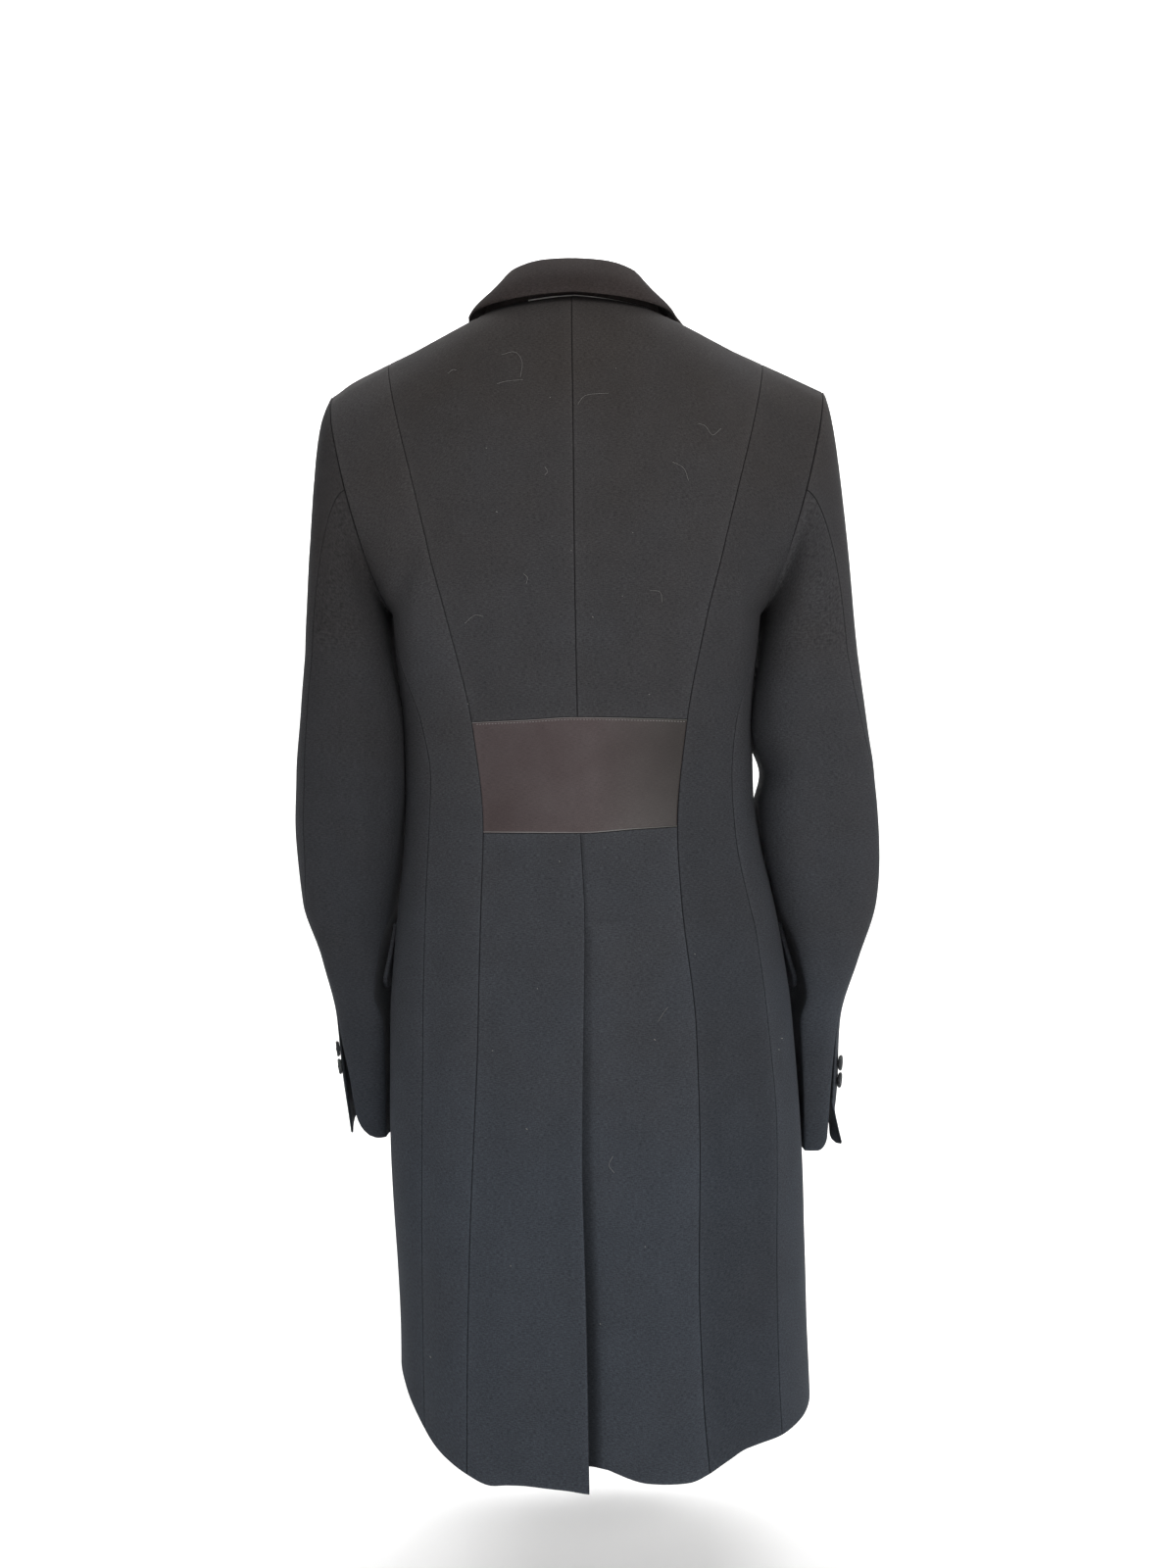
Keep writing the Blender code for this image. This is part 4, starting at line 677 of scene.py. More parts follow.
# Wound thread under a button: how far it goes in and out of the button, and its radius.
SHANK_REACH, SHANK_SINK, SHANK_RADIUS = 0.0030, 0.0008, 0.0026
LAPEL_ROLL, FLAP_ROLL = 0.0008, 0.0014  # radius with which their edges are turned
FLAP_ROUNDING = 0.08      # part of a flap's width that its rounded corner takes
LINT_RISE = 0.0004        # lint lies this far above the cloth
COOL = (0.0350, 0.0398, 0.0480)  # colour the crepe shifts to towards the hem, from a warmer one at the shoulders
FLOOR_Z, WALL_Y, BEND = -1.060, -2.6, 0.8  # floor, back wall and the radius between them


def spread_steps(length, fine_start=True, fine_end=True):
    """Places from 0 to length, close together beside the two edges and even between them."""
    start = list(SEAM_STEPS) if fine_start else [0.0]
    end = list(SEAM_STEPS) if fine_end else [0.0]
    low = start[-1]
    high = length - end[-1]
    count = max(int(round((high - low) / CELL)), 2)
    middle = [low + (high - low) * i / count for i in range(1, count)]
    return np.array(start + middle + [length - e for e in reversed(end)])


def level_rows(low, high):
    """Levels from low to high, evenly spaced over the cloth."""
    to_arc = lambda v: v if v <= 0.0 else v * LEVEL_SPAN
    arc = to_arc(low) + spread_steps(to_arc(high) - to_arc(low))
    return np.where(arc <= 0.0, arc, arc / LEVEL_SPAN)


def run_length(points, axis):
    """Distance along the rows or columns of a grid, from its first line."""
    step = np.linalg.norm(np.diff(points, axis=axis), axis=-1)
    pad = np.zeros_like(np.take(step, [0], axis=axis))
    return np.concatenate((pad, np.cumsum(step, axis=axis)), axis=axis)


def roll(distance, radius):
    """How far a turned edge lies below the face at some distance from the edge."""
    near = np.clip(radius - distance, 0.0, radius)
    return radius - np.sqrt(np.maximum(radius ** 2 - near ** 2, 0.0))


def edge_distances(points):
    across = run_length(points, 1)
    up = run_length(points, 0)
    return {"left": across, "right": across[:, -1:] - across,
            "bottom": up, "top": up[-1:] - up}


# ---- looks: meshes
def finish_mesh(name, verts, faces, uv, mat, seam):
    mesh = bpy.data.meshes.new(name)
    mesh.vertices.add(len(verts))
    mesh.vertices.foreach_set("co", np.asarray(verts, np.float32).ravel())
    mesh.loops.add(faces.size)
    mesh.loops.foreach_set("vertex_index", faces.astype(np.int32).ravel())
    mesh.polygons.add(len(faces))
    mesh.polygons.foreach_set("loop_start", np.arange(0, faces.size, 4, dtype=np.int32))
    mesh.polygons.foreach_set("use_smooth", np.ones(len(faces), bool))
    layer = mesh.uv_layers.new(name="cloth")
    layer.data.foreach_set("uv", np.asarray(uv, np.float32)[faces.ravel()].ravel())
    attribute = mesh.attributes.new("seam", "FLOAT", "POINT")
    attribute.data.foreach_set("value", np.asarray(seam, np.float32).ravel())
    mesh.update(calc_edges=True)
    mesh.validate()
    mesh.materials.append(mat)
    return link(bpy.data.objects.new(name, mesh))


def link(obj):
    bpy.context.scene.collection.objects.link(obj)
    return obj


def settle(points):
    """How the left shoulder point has sunk a little under its own weight."""
    away = (points - SHOULDER_POINT) / SETTLE_SPAN
    near = np.exp(-np.sum(away ** 2, axis=-1))
    return points - near[..., None] * SETTLE_DROP


def cloth_shell(name, outer, normal, mat, rolls=None, thick=CLOTH, keep=None, dark_edge=1.0,
                dark=None, slot="cloth"):
    """Closed thin wall with turned edges.  rolls says how tightly each edge is turned; dark is painted
    shade added to the seam attribute.
    """
    rows, cols = outer.shape[:2]
    count = rows * cols
    outer = settle(outer)
    distance = edge_distances(outer)
    radii = {**dict.fromkeys(EDGES, SEAM_ROLL), **(rolls or {})}
    drop, inner_rise, nearest = (np.full((rows, cols), start) for start in (0.0, 0.0, 1.0))
    for edge, radius in radii.items():
        nearest = np.minimum(nearest, distance[edge])
        drop = np.maximum(drop, roll(distance[edge], radius))
        inner_rise = np.maximum(inner_rise, roll(distance[edge], min(radius, 0.35 * thick)))
    inner = outer - normal * (thick - inner_rise)[..., None]
    outer = outer - normal * np.minimum(drop, 0.62 * thick)[..., None]
    middle = cols // 2
    u = distance["left"] - distance["left"][:, middle:middle + 1]
    v = distance["bottom"][:, middle:middle + 1] + 0 * u
    uv = np.tile(np.stack((u, v), axis=-1).reshape(-1, 2), (2, 1))
    # Nearness to an edge: in the cloth it gives dark seam lines and a painted highlight just beside
    # them.
    seam = dark_edge * np.exp(-nearest / SEAM_SHADE)
    # dark adds painted shade to it.
    if dark is not None:
        seam = np.maximum(seam, dark)
    seam = np.tile(seam.ravel(), 2)
    verts = np.concatenate((outer.reshape(-1, 3), inner.reshape(-1, 3)))
    if keep is None:
        keep = np.ones((rows - 1, cols - 1), dtype=bool)
    index = np.arange(count).reshape(rows, cols)
    corners = (index[:-1, :-1], index[:-1, 1:], index[1:, 1:], index[1:, :-1])
    front = np.stack([corner[keep] for corner in corners], axis=1)
    edges = np.concatenate([front[:, [i, (i + 1) % 4]] for i in range(4)])
    key = edges.min(axis=1) * count + edges.max(axis=1)
    _, first, uses = np.unique(key, return_index=True, return_counts=True)
    rim = edges[first[uses == 1]]
    wall = np.stack((rim[:, 1], rim[:, 0], rim[:, 0] + count, rim[:, 1] + count), axis=1)
    faces = np.concatenate((front, front[:, ::-1] + count, wall))
    # Faces look outwards: turn all of them over if the middle one looks inwards.
    sample = front[len(front) // 2]
    p = verts[sample]
    if np.dot(np.cross(p[1] - p[0], p[3] - p[0]), normal.reshape(-1, 3)[sample[0]]) < 0:
        faces = faces[:, ::-1]
    used, again = np.unique(faces, return_inverse=True)
    obj = finish_mesh(name + "_cloth", verts[used], again.reshape(-1, 4), uv[used], mat, seam[used])
    diagonals = outer[1:, 1:] - outer[:-1, :-1], outer[1:, :-1] - outer[:-1, 1:]
    area = float((np.linalg.norm(np.cross(*diagonals), axis=-1) * keep).sum() / 2)
    width, length = (float(distance[far].max()) for far in ("left", "bottom"))
    declare_cloth(width, length, area)
    place(obj, slot, name)


def declare_cloth(width, length, area):
    """Works out the cut size of a piece with its seam allowance: 10 mm, or 5 and 3 mm on small pieces;
    the result is not kept.
    """
    allowance = 0.010 if area > 0.04 else 0.005 if area > 0.010 else 0.003
    flat_w = width + 2 * allowance
    flat_l = length + 2 * allowance
    area = min(area + allowance * 2 * (width + length), flat_w * flat_l)
    area = max(area, LEAST_FILL * flat_w * flat_l)


def place(obj, slot, *nodes):
    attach(obj, "root")
    if nodes:
        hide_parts(*nodes)


def tube(points, radius):
    """Vertices and faces of a round thread along a line of points."""
    along = unit(np.gradient(points, axis=0))
    side_way = unit(np.cross(along, THREAD_GUIDE))
    up_way = np.cross(along, side_way)
    angle = np.linspace(0, 2 * math.pi, RING, endpoint=False)[None, :, None]
    circle = side_way[:, None] * np.cos(angle) + up_way[:, None] * np.sin(angle)
    verts = (points[:, None] + circle * radius).reshape(-1, 3)
    k = np.arange(len(points) - 1)[:, None] * RING
    i = np.arange(RING)[None, :]
    j = (i + 1) % RING
    faces = np.stack((k + i, k + j, k + RING + j, k + RING + i), axis=-1).reshape(-1, 4)
    return verts, faces


def thread_mesh(name, lines, radius, mat, slot="cloth"):
    """One mesh of several threads; each line is an array of points."""
    verts, faces, uv, count = [], [], [], 0
    for line in lines:
        v, f = tube(line, radius)
        rows = len(v) // RING
        for start, turn in ((0, -1), (len(v) - RING, 1)):
            ids = [start + i for i in range(RING)][::turn]
            f = np.concatenate((f, [ids[:4], ids[:1] + ids[3:]]))
        verts.append(v)
        faces.append(f + count)
        uv.append(np.stack((np.repeat(np.arange(rows) * 0.001, RING),
                            np.tile(np.arange(RING) / RING, rows)), axis=1))
        count += len(v)
    verts, faces, uv = (np.concatenate(part) for part in (verts, faces, uv))
    place(finish_mesh(name, verts, faces, uv, mat, np.zeros(count)), slot)


# ---- looks: materials
class Nodes:
    """Small helper that adds nodes to a material and links them."""

    def __init__(self, name):
        self.mat = bpy.data.materials.new(name)
        self.mat.use_nodes = True
        self.tree = self.mat.node_tree
        self.shader = self.tree.nodes["Principled BSDF"]

    def feed(self, socket, value):
        if isinstance(value, bpy.types.NodeSocket):
            self.tree.links.new(value, socket)
        else:
            socket.default_value = value

    def add(self, kind, links=None, **values):
        node = self.tree.nodes.new(kind)
        for key, value in values.items():
            setattr(node, key, value)
        for key, value in (links or {}).items():
            self.feed(node.inputs[key], value)
        return node

    def uv(self):
        return self.add("ShaderNodeUVMap", uv_map="cloth").outputs[0]

    def at(self):
        return self.add("ShaderNodeTexCoord").outputs["Object"]

    def seam(self):
        return self.add("ShaderNodeAttribute", attribute_name="seam").outputs["Fac"]

    def part(self, vector, axis):
        return self.add("ShaderNodeSeparateXYZ", {0: vector}).outputs[axis]

    def math(self, operation, a, b=0.0):
        return self.add("ShaderNodeMath", {0: a, 1: b}, operation=operation).outputs[0]

    def times(self, first, *others):
        for other in others:
            first = self.math("MULTIPLY", first, other)
        return first

    def blend(self, a, b, share_a, share_b):
        return self.math("ADD", self.times(a, share_a), self.times(b, share_b))

    def noise(self, vector, scale, detail=2.0, rough=0.5, stretch=None):
        if stretch:
            vector = self.add("ShaderNodeMapping", {"Vector": vector, "Scale": stretch}).outputs[0]
        return self.add("ShaderNodeTexNoise", {"Vector": vector, "Scale": scale, "Detail": detail,
                                               "Roughness": rough}).outputs[0]

    def ramp(self, value, stops):
        node = self.add("ShaderNodeValToRGB", {0: value})
        elements = node.color_ramp.elements
        while len(elements) < len(stops):
            elements.new(0.5)
        for element, (at, colour) in zip(elements, stops):
            element.position = at
            element.color = tuple(colour) + (1.0,)
        return node.outputs[0]

    def range(self, value, low, high, to_low, to_high):
        return self.add("ShaderNodeMapRange",
                        {0: value, 1: low, 2: high, 3: to_low, 4: to_high}).outputs[0]

    def mix(self, factor, a, b, blend="MIX"):
        node = self.add("ShaderNodeMix", data_type="RGBA", blend_type=blend)
        for key, value in ((0, factor), (6, a), (7, b)):
            plain = isinstance(value, (tuple, list))
            self.feed(node.inputs[key], (*value, 1.0) if plain else value)
        return node.outputs[2]

    def shaded(self, colour, shade):
        grey = self.add("ShaderNodeCombineColor", {0: shade, 1: shade, 2: shade}).outputs[0]
        return self.mix(1.0, colour, grey, "MULTIPLY")

    def bump(self, height, strength, distance):
        return self.add("ShaderNodeBump", {"Height": height, "Strength": strength,
                                           "Distance": distance}).outputs[0]

    def set(self, **values):
        for key, value in values.items():
            self.feed(self.shader.inputs[key.replace("_", " ")], value)


def crepe(name, tone=1.0, warm=(0.0395, 0.0355, 0.0340)):
    """Matt wool crepe: uneven horizontal yarns, a faint nap, lint specks, dark seam lines with a
    painted highlight beside them, and painted shade where the seam attribute carries it.

    Its colour shifts from warm at the shoulders to cool at the hem.
    """
    n = Nodes(name)
    uv, at, seam = n.uv(), n.at(), n.seam()
    weft = n.noise(uv, 1.0, 3.0, 0.55, (330.0, 1500.0, 1.0))
    warp = n.noise(uv, 1.0, 3.0, 0.55, (1500.0, 420.0, 1.0))
    grain = n.blend(weft, warp, 0.6, 0.4)
    cloud = n.noise(at, 9.0, 3.0, 0.55)
    blotch = n.noise(at, 42.0, 2.0, 0.5)
    down = n.math("ADD", n.range(n.part(at, 2), 0.03, -0.75, 0.0, 1.0),
                  n.times(n.math("SUBTRACT", cloud, 0.5), 0.55))
    base = n.mix(n.add("ShaderNodeClamp", {0: down}).outputs[0], [c * tone for c in warm],
                 [c * tone for c in COOL])
    # Dark seam lines at the edges, a painted highlight just beside them, and painted shade where the
    # seam attribute carries it.
    shade = n.times(n.range(grain, 0.30, 0.70, 0.52, 1.50), n.range(blotch, 0.25, 0.75, 0.95, 1.05),
                    n.range(cloud, 0.25, 0.75, 0.96, 1.04), n.range(seam, 0.0, 0.7, 1.0, 1.10),
                    n.range(seam, 0.84, 0.97, 1.0, 0.38))
    fleck = n.range(n.noise(uv, 900.0, 2.0, 0.6), 0.735, 0.80, 0.0, 0.55)
    colour = n.mix(fleck, n.shaded(base, shade), (0.16, 0.155, 0.15))
    n.set(Base_Color=colour, Roughness=n.range(grain, 0.3, 0.7, 0.95, 0.80),
          Normal=n.bump(n.blend(grain, blotch, 0.7, 0.3), 0.35, 0.0006),
          Specular_IOR_Level=0.05, Sheen_Weight=0.02, Sheen_Roughness=0.5,
          Sheen_Tint=(0.85, 0.87, 0.95, 1.0))
    return n.mat


def satin(name, colour=(0.0560, 0.0410, 0.0415), gloss=0.46):
    """Satin: fine horizontal floats with a soft broad shine; painted shade makes it darker towards the
    two sides, and its edges carry a painted highlight.
    """
    n = Nodes(name)
    uv, at = n.uv(), n.at()
    float_ = n.noise(uv, 1.0, 3.0, 0.6, (260.0, 2600.0, 1.0))
    cross = n.noise(uv, 1.0, 2.0, 0.5, (2400.0, 500.0, 1.0))
    patch = n.noise(at, 26.0, 2.0, 0.5)
    grain = n.blend(float_, cross, 0.65, 0.35)
    # Painted shade: darker and tinted towards the right end (aside), a little darker towards the left
    # end (other).
    across = n.part(at, 0)
    aside = n.range(across, -0.015, -0.085, 0.0, 1.0)
    other = n.range(across, 0.020, 0.090, 0.0, 1.0)
    # Nearness to an edge makes the satin lighter: a painted highlight.
    shade = n.times(n.range(grain, 0.3, 0.7, 0.66, 1.34), n.range(patch, 0.3, 0.7, 0.88, 1.12),
                    n.range(n.seam(), 0.0, 1.0, 1.0, 1.15), n.range(aside, 0.0, 1.0, 1.0, 0.42),
                    n.range(other, 0.0, 1.0, 1.0, 0.90))
    r, g, b = colour
    tint = n.mix(n.range(patch, 0.35, 0.65, 0.0, 1.0), colour, (r * 0.97, g * 1.02, b * 1.03))
    tint = n.mix(n.times(aside, 0.28), tint, (r * 0.84, g * 1.10, b * 0.82))
    n.set(Base_Color=n.shaded(tint, shade),
          Roughness=n.range(grain, 0.3, 0.7, gloss + 0.05, gloss - 0.05),
          Normal=n.bump(n.math("ADD", grain, n.times(patch, 0.8)), 0.22, 0.0005),
          Specular_IOR_Level=0.28, Sheen_Weight=0.06, Sheen_Roughness=0.4)
    return n.mat


def horn(name):
    """Polished dark button with a faint pearly play of light."""
    n = Nodes(name)
    at = n.at()
    swirl = n.noise(at, 260.0, 4.0, 0.6)
    fine = n.noise(at, 1500.0, 2.0, 0.6)
    colour = n.ramp(swirl, ((0.30, (0.012, 0.012, 0.014)), (0.52, (0.040, 0.042, 0.046)),
                            (0.70, (0.120, 0.135, 0.125))))
    n.set(Base_Color=colour, Roughness=n.range(fine, 0.3, 0.7, 0.44, 0.56),
          Normal=n.bump(fine, 0.12, 0.0004),
          Specular_IOR_Level=0.14, Coat_Weight=0.05, Coat_Roughness=0.3)
    return n.mat


def thread_stuff(name, colour, rough=0.6):
    """Twisted thread: short slanting bands of light and dark."""
    n = Nodes(name)
    twist = n.add("ShaderNodeTexWave", {"Vector": n.uv(), "Scale": 300.0, "Distortion": 2.0}).outputs[1]
    uneven = n.noise(n.at(), 900.0, 2.0, 0.5)
    shade = n.times(n.range(twist, 0.0, 1.0, 0.75, 1.15), n.range(uneven, 0.3, 0.7, 0.85, 1.15))
    n.set(Base_Color=n.shaded(colour, shade),
          Roughness=n.range(uneven, 0.3, 0.7, rough + 0.1, rough - 0.1),
          Normal=n.bump(twist, 0.3, 0.0001), Sheen_Weight=0.1)
    return n.mat


# Lighter and darker copies of one cloth: painted light and painted shade, partly also the nap's
# direction.
WOOL = crepe("wool_crepe")
WOOL_LIGHTER_NAP_AND_PAINTED_LIGHT = crepe("wool_crepe_lighter_nap_and_painted_light", 1.09)
WOOL_DARKER_NAP_AND_PAINTED_SHADE = crepe("wool_crepe_darker_nap_and_painted_shade", 0.91)
# The left sleeve's darker copy is painted shade.
WOOL_LEFT_SLEEVE_PAINTED_SHADE = crepe("wool_crepe_left_sleeve_painted_shade", 0.76)
SATIN = satin("black_satin")
# Light grey satin for the waist panel's edging: a painted highlight on the satin's turned edges.
WAIST_PIPING_PAINTED_HIGHLIGHT = satin("satin_waist_piping_painted_highlight", (0.185, 0.172, 0.168), 0.42)
HORN = horn("polished_button")
THREAD = thread_stuff("sewing_thread", (0.220, 0.210, 0.205))
LINT = thread_stuff("lint_fibre", (0.165, 0.158, 0.150), 0.8)
COLLAR_WOOL = crepe("wool_collar", 0.78, warm=(0.0400, 0.0325, 0.0310))
# Lighter copy for the pocket flaps: painted light on their edges that stand off the body.
FLAP_WOOL_PAINTED_LIGHT = crepe("wool_flap_painted_light", 1.35)
# Light grey for the neck cord: a painted highlight along the neck seam.
NECK_CORD_PAINTED_HIGHLIGHT = satin("satin_neck_painted_highlight", (0.380, 0.355, 0.345), 0.42)
BUTTON_THREAD = thread_stuff("button_thread", (0.020, 0.020, 0.022))


# ---- looks: relief
def folds(table, across, up):
    """Sum of soft ridges (height above 0) and troughs (below 0), each along a short line.

    A row is (across, up) of both ends, half width and height, all in metres.
    """
    total = np.zeros(np.broadcast(across, up).shape)
    for x0, z0, x1, z1, wide, high in table:
        dx, dz = x1 - x0, z1 - z0
        span = dx * dx + dz * dz
        t = np.clip(((across - x0) * dx + (up - z0) * dz) / span, 0.0, 1.0)
        gap = np.hypot(across - x0 - t * dx, up - z0 - t * dz)
        taper = np.sin(math.pi * np.clip(0.12 + 0.76 * t, 0, 1))
        total = total + high * taper * np.exp(-(gap / wide) ** 2)
    return total


def ripple(points, seed, size=0.0005):
    """Slow unevenness of worn cloth."""
    rng = np.random.default_rng(seed)
    total = np.zeros(points.shape[:-1])
    for wave in (0.16, 0.09, 0.05):
        for _ in range(3):
            turn = rng.normal(size=3)
            turn = turn / np.linalg.norm(turn) * (2 * math.pi / wave)
            total += np.sin(points @ turn + rng.uniform(0, 6.28)) * wave / 0.16
    return total * size / 3


# Back of the body, seen from behind: x, z of both ends, half width, height.
BACK_FOLDS = (
    (0.118, -0.215, 0.142, -0.29, 0.012, 0.0022),
    (0.134, -0.205, 0.152, -0.262, 0.009, -0.0018),
    (-0.122, -0.21, -0.142, -0.29, 0.012, 0.0022),
    (-0.134, -0.205, -0.152, -0.262, 0.009, -0.0018),
    (0.1, -0.46, 0.108, -0.93, 0.018, 0.003),
    (0.118, -0.5, 0.128, -0.93, 0.012, -0.0022),
    (-0.15, -0.52, -0.168, -0.94, 0.014, 0.004),
    (-0.104, -0.52, -0.118, -0.94, 0.014, -0.0034),
    (-0.06, -0.56, -0.07, -0.94, 0.028, 0.003),
    (0.045, -0.6, 0.052, -0.93, 0.03, 0.002),
    (-0.01, -0.515, -0.052, -0.59, 0.012, 0.0014),
)
FRONT_FOLDS = (
    (0.1, -0.2, 0.06, -0.37, 0.014, 0.0018),
    (-0.1, -0.2, -0.06, -0.37, 0.014, 0.0018),
    (0.03, -0.42, 0.12, -0.5, 0.012, 0.0016),
    (-0.03, -0.42, -0.12, -0.5, 0.012, 0.0016),
    (0.08, -0.6, 0.09, -0.93, 0.022, 0.0028),
    (-0.1, -0.6, -0.12, -0.93, 0.022, 0.0028),
)


def drape(points, w):
    """Height of the cloth above the plain form, over the whole body."""
    back, front = (folds(t, points[..., 0], points[..., 2]) for t in (BACK_FOLDS, FRONT_FOLDS))
    behind = 1.0 - ease((w - 0.80) / 0.5)
    return back * behind + front * (1 - behind) + ripple(points, BODY_SEED)


def shares(length, fine_start=True, fine_end=True):
    """The steps over a length, as parts of it."""
    return spread_steps(length, fine_start, fine_end) / length


def hung(side, w, level, more=None):
    """Cloth that hangs over the body, as points and normals.  more(points) is extra height."""
    points = torso(side, w, level)
    normal = torso_normal(side, w, level)
    height = drape(points, w)
    if more:
        height = height + more(points)
    return points + normal * height[..., None], normal


# ---- looks: body panels
def body_panel(side, name, levels, w_from, w_to, mat, rolls, more=None):
    width = np.linalg.norm(torso(side, w_to, levels) - torso(side, w_from, levels), axis=-1)
    share = shares(float(width.mean()) * 1.04)
    w = w_from[:, None] * (1 - share) + w_to[:, None] * share
    points, normal = hung(side, w, levels[:, None] + 0 * w, more)
    cloth_shell(name, points, normal, mat, rolls)


BOTTOM = HEM_Z - UNDERARM_Z
VENT_TOP = VENT_TOP_Z - UNDERARM_Z
LOW = WAIST_LOW_Z - UNDERARM_Z
TOP = WAIST_TOP_Z - UNDERARM_Z


def make_back_upper(side, name):
    levels = level_rows(TOP, 1.0)
    end_w = neck_w(side)
    corner = end_w / float(princess_w(side, levels[-1:])[0])
    share = np.sort(np.append(shares(UPPER_WIDTH), corner))
    w, level = centre_back(side, levels, share)
    level = level * np.where(level > 0.0, neck_ceiling(w[-1], end_w)[None, :], 1.0)
    points, normal = hung(side, w, level)
    cloth_shell(name, points, normal, WOOL)


def make_side_back(side, name):
    levels = level_rows(BOTTOM, 1.0)
    # Left side back in the lighter copy, right one in the darker: painted light and painted shade,
    # partly the nap.
    body_panel(side, name, levels, princess_w(side, levels), side_seam_w(side, levels),
               WOOL_LIGHTER_NAP_AND_PAINTED_LIGHT if side > 0 else WOOL_DARKER_NAP_AND_PAINTED_SHADE, {"bottom": HEM_ROLL})


def make_waist_panel(name):
    levels = level_rows(LOW, TOP)
    halves = []
    for side in (-1, 1):
        w, level = centre_back(side, levels, shares(WAIST_WIDTH, fine_start=False))
        halves.append((torso(side, w, level), torso_normal(side, w, level)))
    points, normal = (np.concatenate((right[:, :0:-1], left), axis=1)
                      for right, left in zip(*halves))
    points = points + normal * ripple(points, WAIST_SEED, WAIST_RIPPLE)[..., None]
    cloth_shell(name, points, normal, SATIN, slot="satin")


def vent_lift(points, distance):
    """The upper layer's edge stands a little off the one below, more towards the hem."""
    down = ease((VENT_TOP_Z - 0.01 - points[..., 2]) / 0.30)
    return 0.0034 * down * np.exp(-(distance / 0.012) ** 2)


def make_back_skirt(side, name):
    # Both back skirts are in the lighter copy of the wool: painted light, partly the nap.
    levels = level_rows(BOTTOM, LOW)
    w, level = centre_back(side, levels, shares(SKIRT_WIDTH, fine_start=side > 0))
    edges = {"bottom": HEM_ROLL, "left": HEM_ROLL}
    if side > 0:
        points, normal = hung(side, w, level, lambda p: vent_lift(p, run_length(p, 1)))
        cloth_shell(name, points, normal, WOOL_LIGHTER_NAP_AND_PAINTED_LIGHT, edges)
        return
    ring = smooth(TORSO, UNDERARM_Z + levels)
    lap_w = VENT_LAP / (3 * ring[..., 4] * ring[..., 0])
    lap_share = 1.0 - shares(VENT_LAP, fine_end=False)[:-1]
    lap = centre_w(side, levels)[:, None] - lap_w[:, None] * lap_share
    lap_cols = lap.shape[1]
    w = np.concatenate((lap, w), axis=1)
    level = np.concatenate((levels[:, None] + 0 * lap, level), axis=1)
    points = torso(side, w, level)
    normal = torso_normal(side, w, level)
    distance = np.linalg.norm(points - points[:, lap_cols:lap_cols + 1], axis=-1)
    under = np.arange(w.shape[1])[None, :] < lap_cols

    def beside(reach):
        return np.where(under, 1.0, np.exp(-(distance / reach) ** 2))

    def below(start, run):
        return ease((VENT_TOP_Z - start - points[..., 2]) / run)

    # Deeper under the left back, and drawn in beside its edge, more so towards the hem.
    draw_in = LAP_DEPTH * beside(0.010) + LAP_MORE * below(0.02, SKIRT_FALL) * beside(0.026)
    height = drape(points, w) * np.where(under, 0.0, 1.0) - draw_in * below(0.0, 0.010)
    points = points + normal * height[..., None]
    # Painted shade on the right back close beside the left one's edge, deeper towards the hem; it goes
    # into the seam attribute, which darkens the cloth.
    vent_painted_shade = np.where(points[..., 2] < VENT_TOP_Z, 0.90 + 0.10 * below(0.0, SKIRT_FALL), 0.0)
    keep = np.ones((len(levels) - 1, w.shape[1] - 1), dtype=bool)
    keep[:, :lap_cols] = (levels[1:] < VENT_TOP - 0.001)[:, None]
    cloth_shell(name, points, normal, WOOL_LIGHTER_NAP_AND_PAINTED_LIGHT, edges, keep=keep,
                dark=0.985 * vent_painted_shade * beside(0.030))


def make_front(side, name):
    levels = level_rows(BOTTOM, 1.0)
    start = np.where(levels > 0.0, FRONT_START_W, side_seam_w(side, levels))

    def sunk(points):
        """The right front lies deeper where the left one laps over it."""
        mid = smooth(TORSO, np.minimum(points[..., 2], UNDERARM_Z))[..., 3]
        near = ease((points[..., 0] - mid + 0.045) / 0.025)
        return -LAP_DEPTH * near * ease((-0.290 - points[..., 2]) / 0.030)

    body_panel(side, name, levels, start, front_edge_w(side, levels), WOOL,
               {"bottom": HEM_ROLL, "right": HEM_ROLL}, None if side > 0 else sunk)


# ---- looks: sleeves
# Folds of the sleeves: (metres round from the hind seam, z) of both ends, half width, height.
SLEEVE_FOLDS = {
    1: (
        (0.0, -0.33, 0.02, -0.56, 0.016, 0.003),
        (0.05, -0.3, 0.06, -0.52, 0.014, -0.0026),
        (0.095, -0.27, 0.1, -0.43, 0.014, 0.0024),
    ),
    -1: (
        (0.0, -0.33, 0.02, -0.56, 0.016, 0.002),
        (0.05, -0.3, 0.06, -0.52, 0.014, -0.002),
        (0.095, -0.27, 0.1, -0.43, 0.014, 0.002),
    ),
}


# Rounding of each cuff's corner beside the vent: how far across and how far up.
CUFF_ROUNDING = {(1, "top"): (0.006, 0.005), (1, "under"): (0.019, 0.024),
                 (-1, "top"): (0.006, 0.008), (-1, "under"): (0.011, 0.013)}


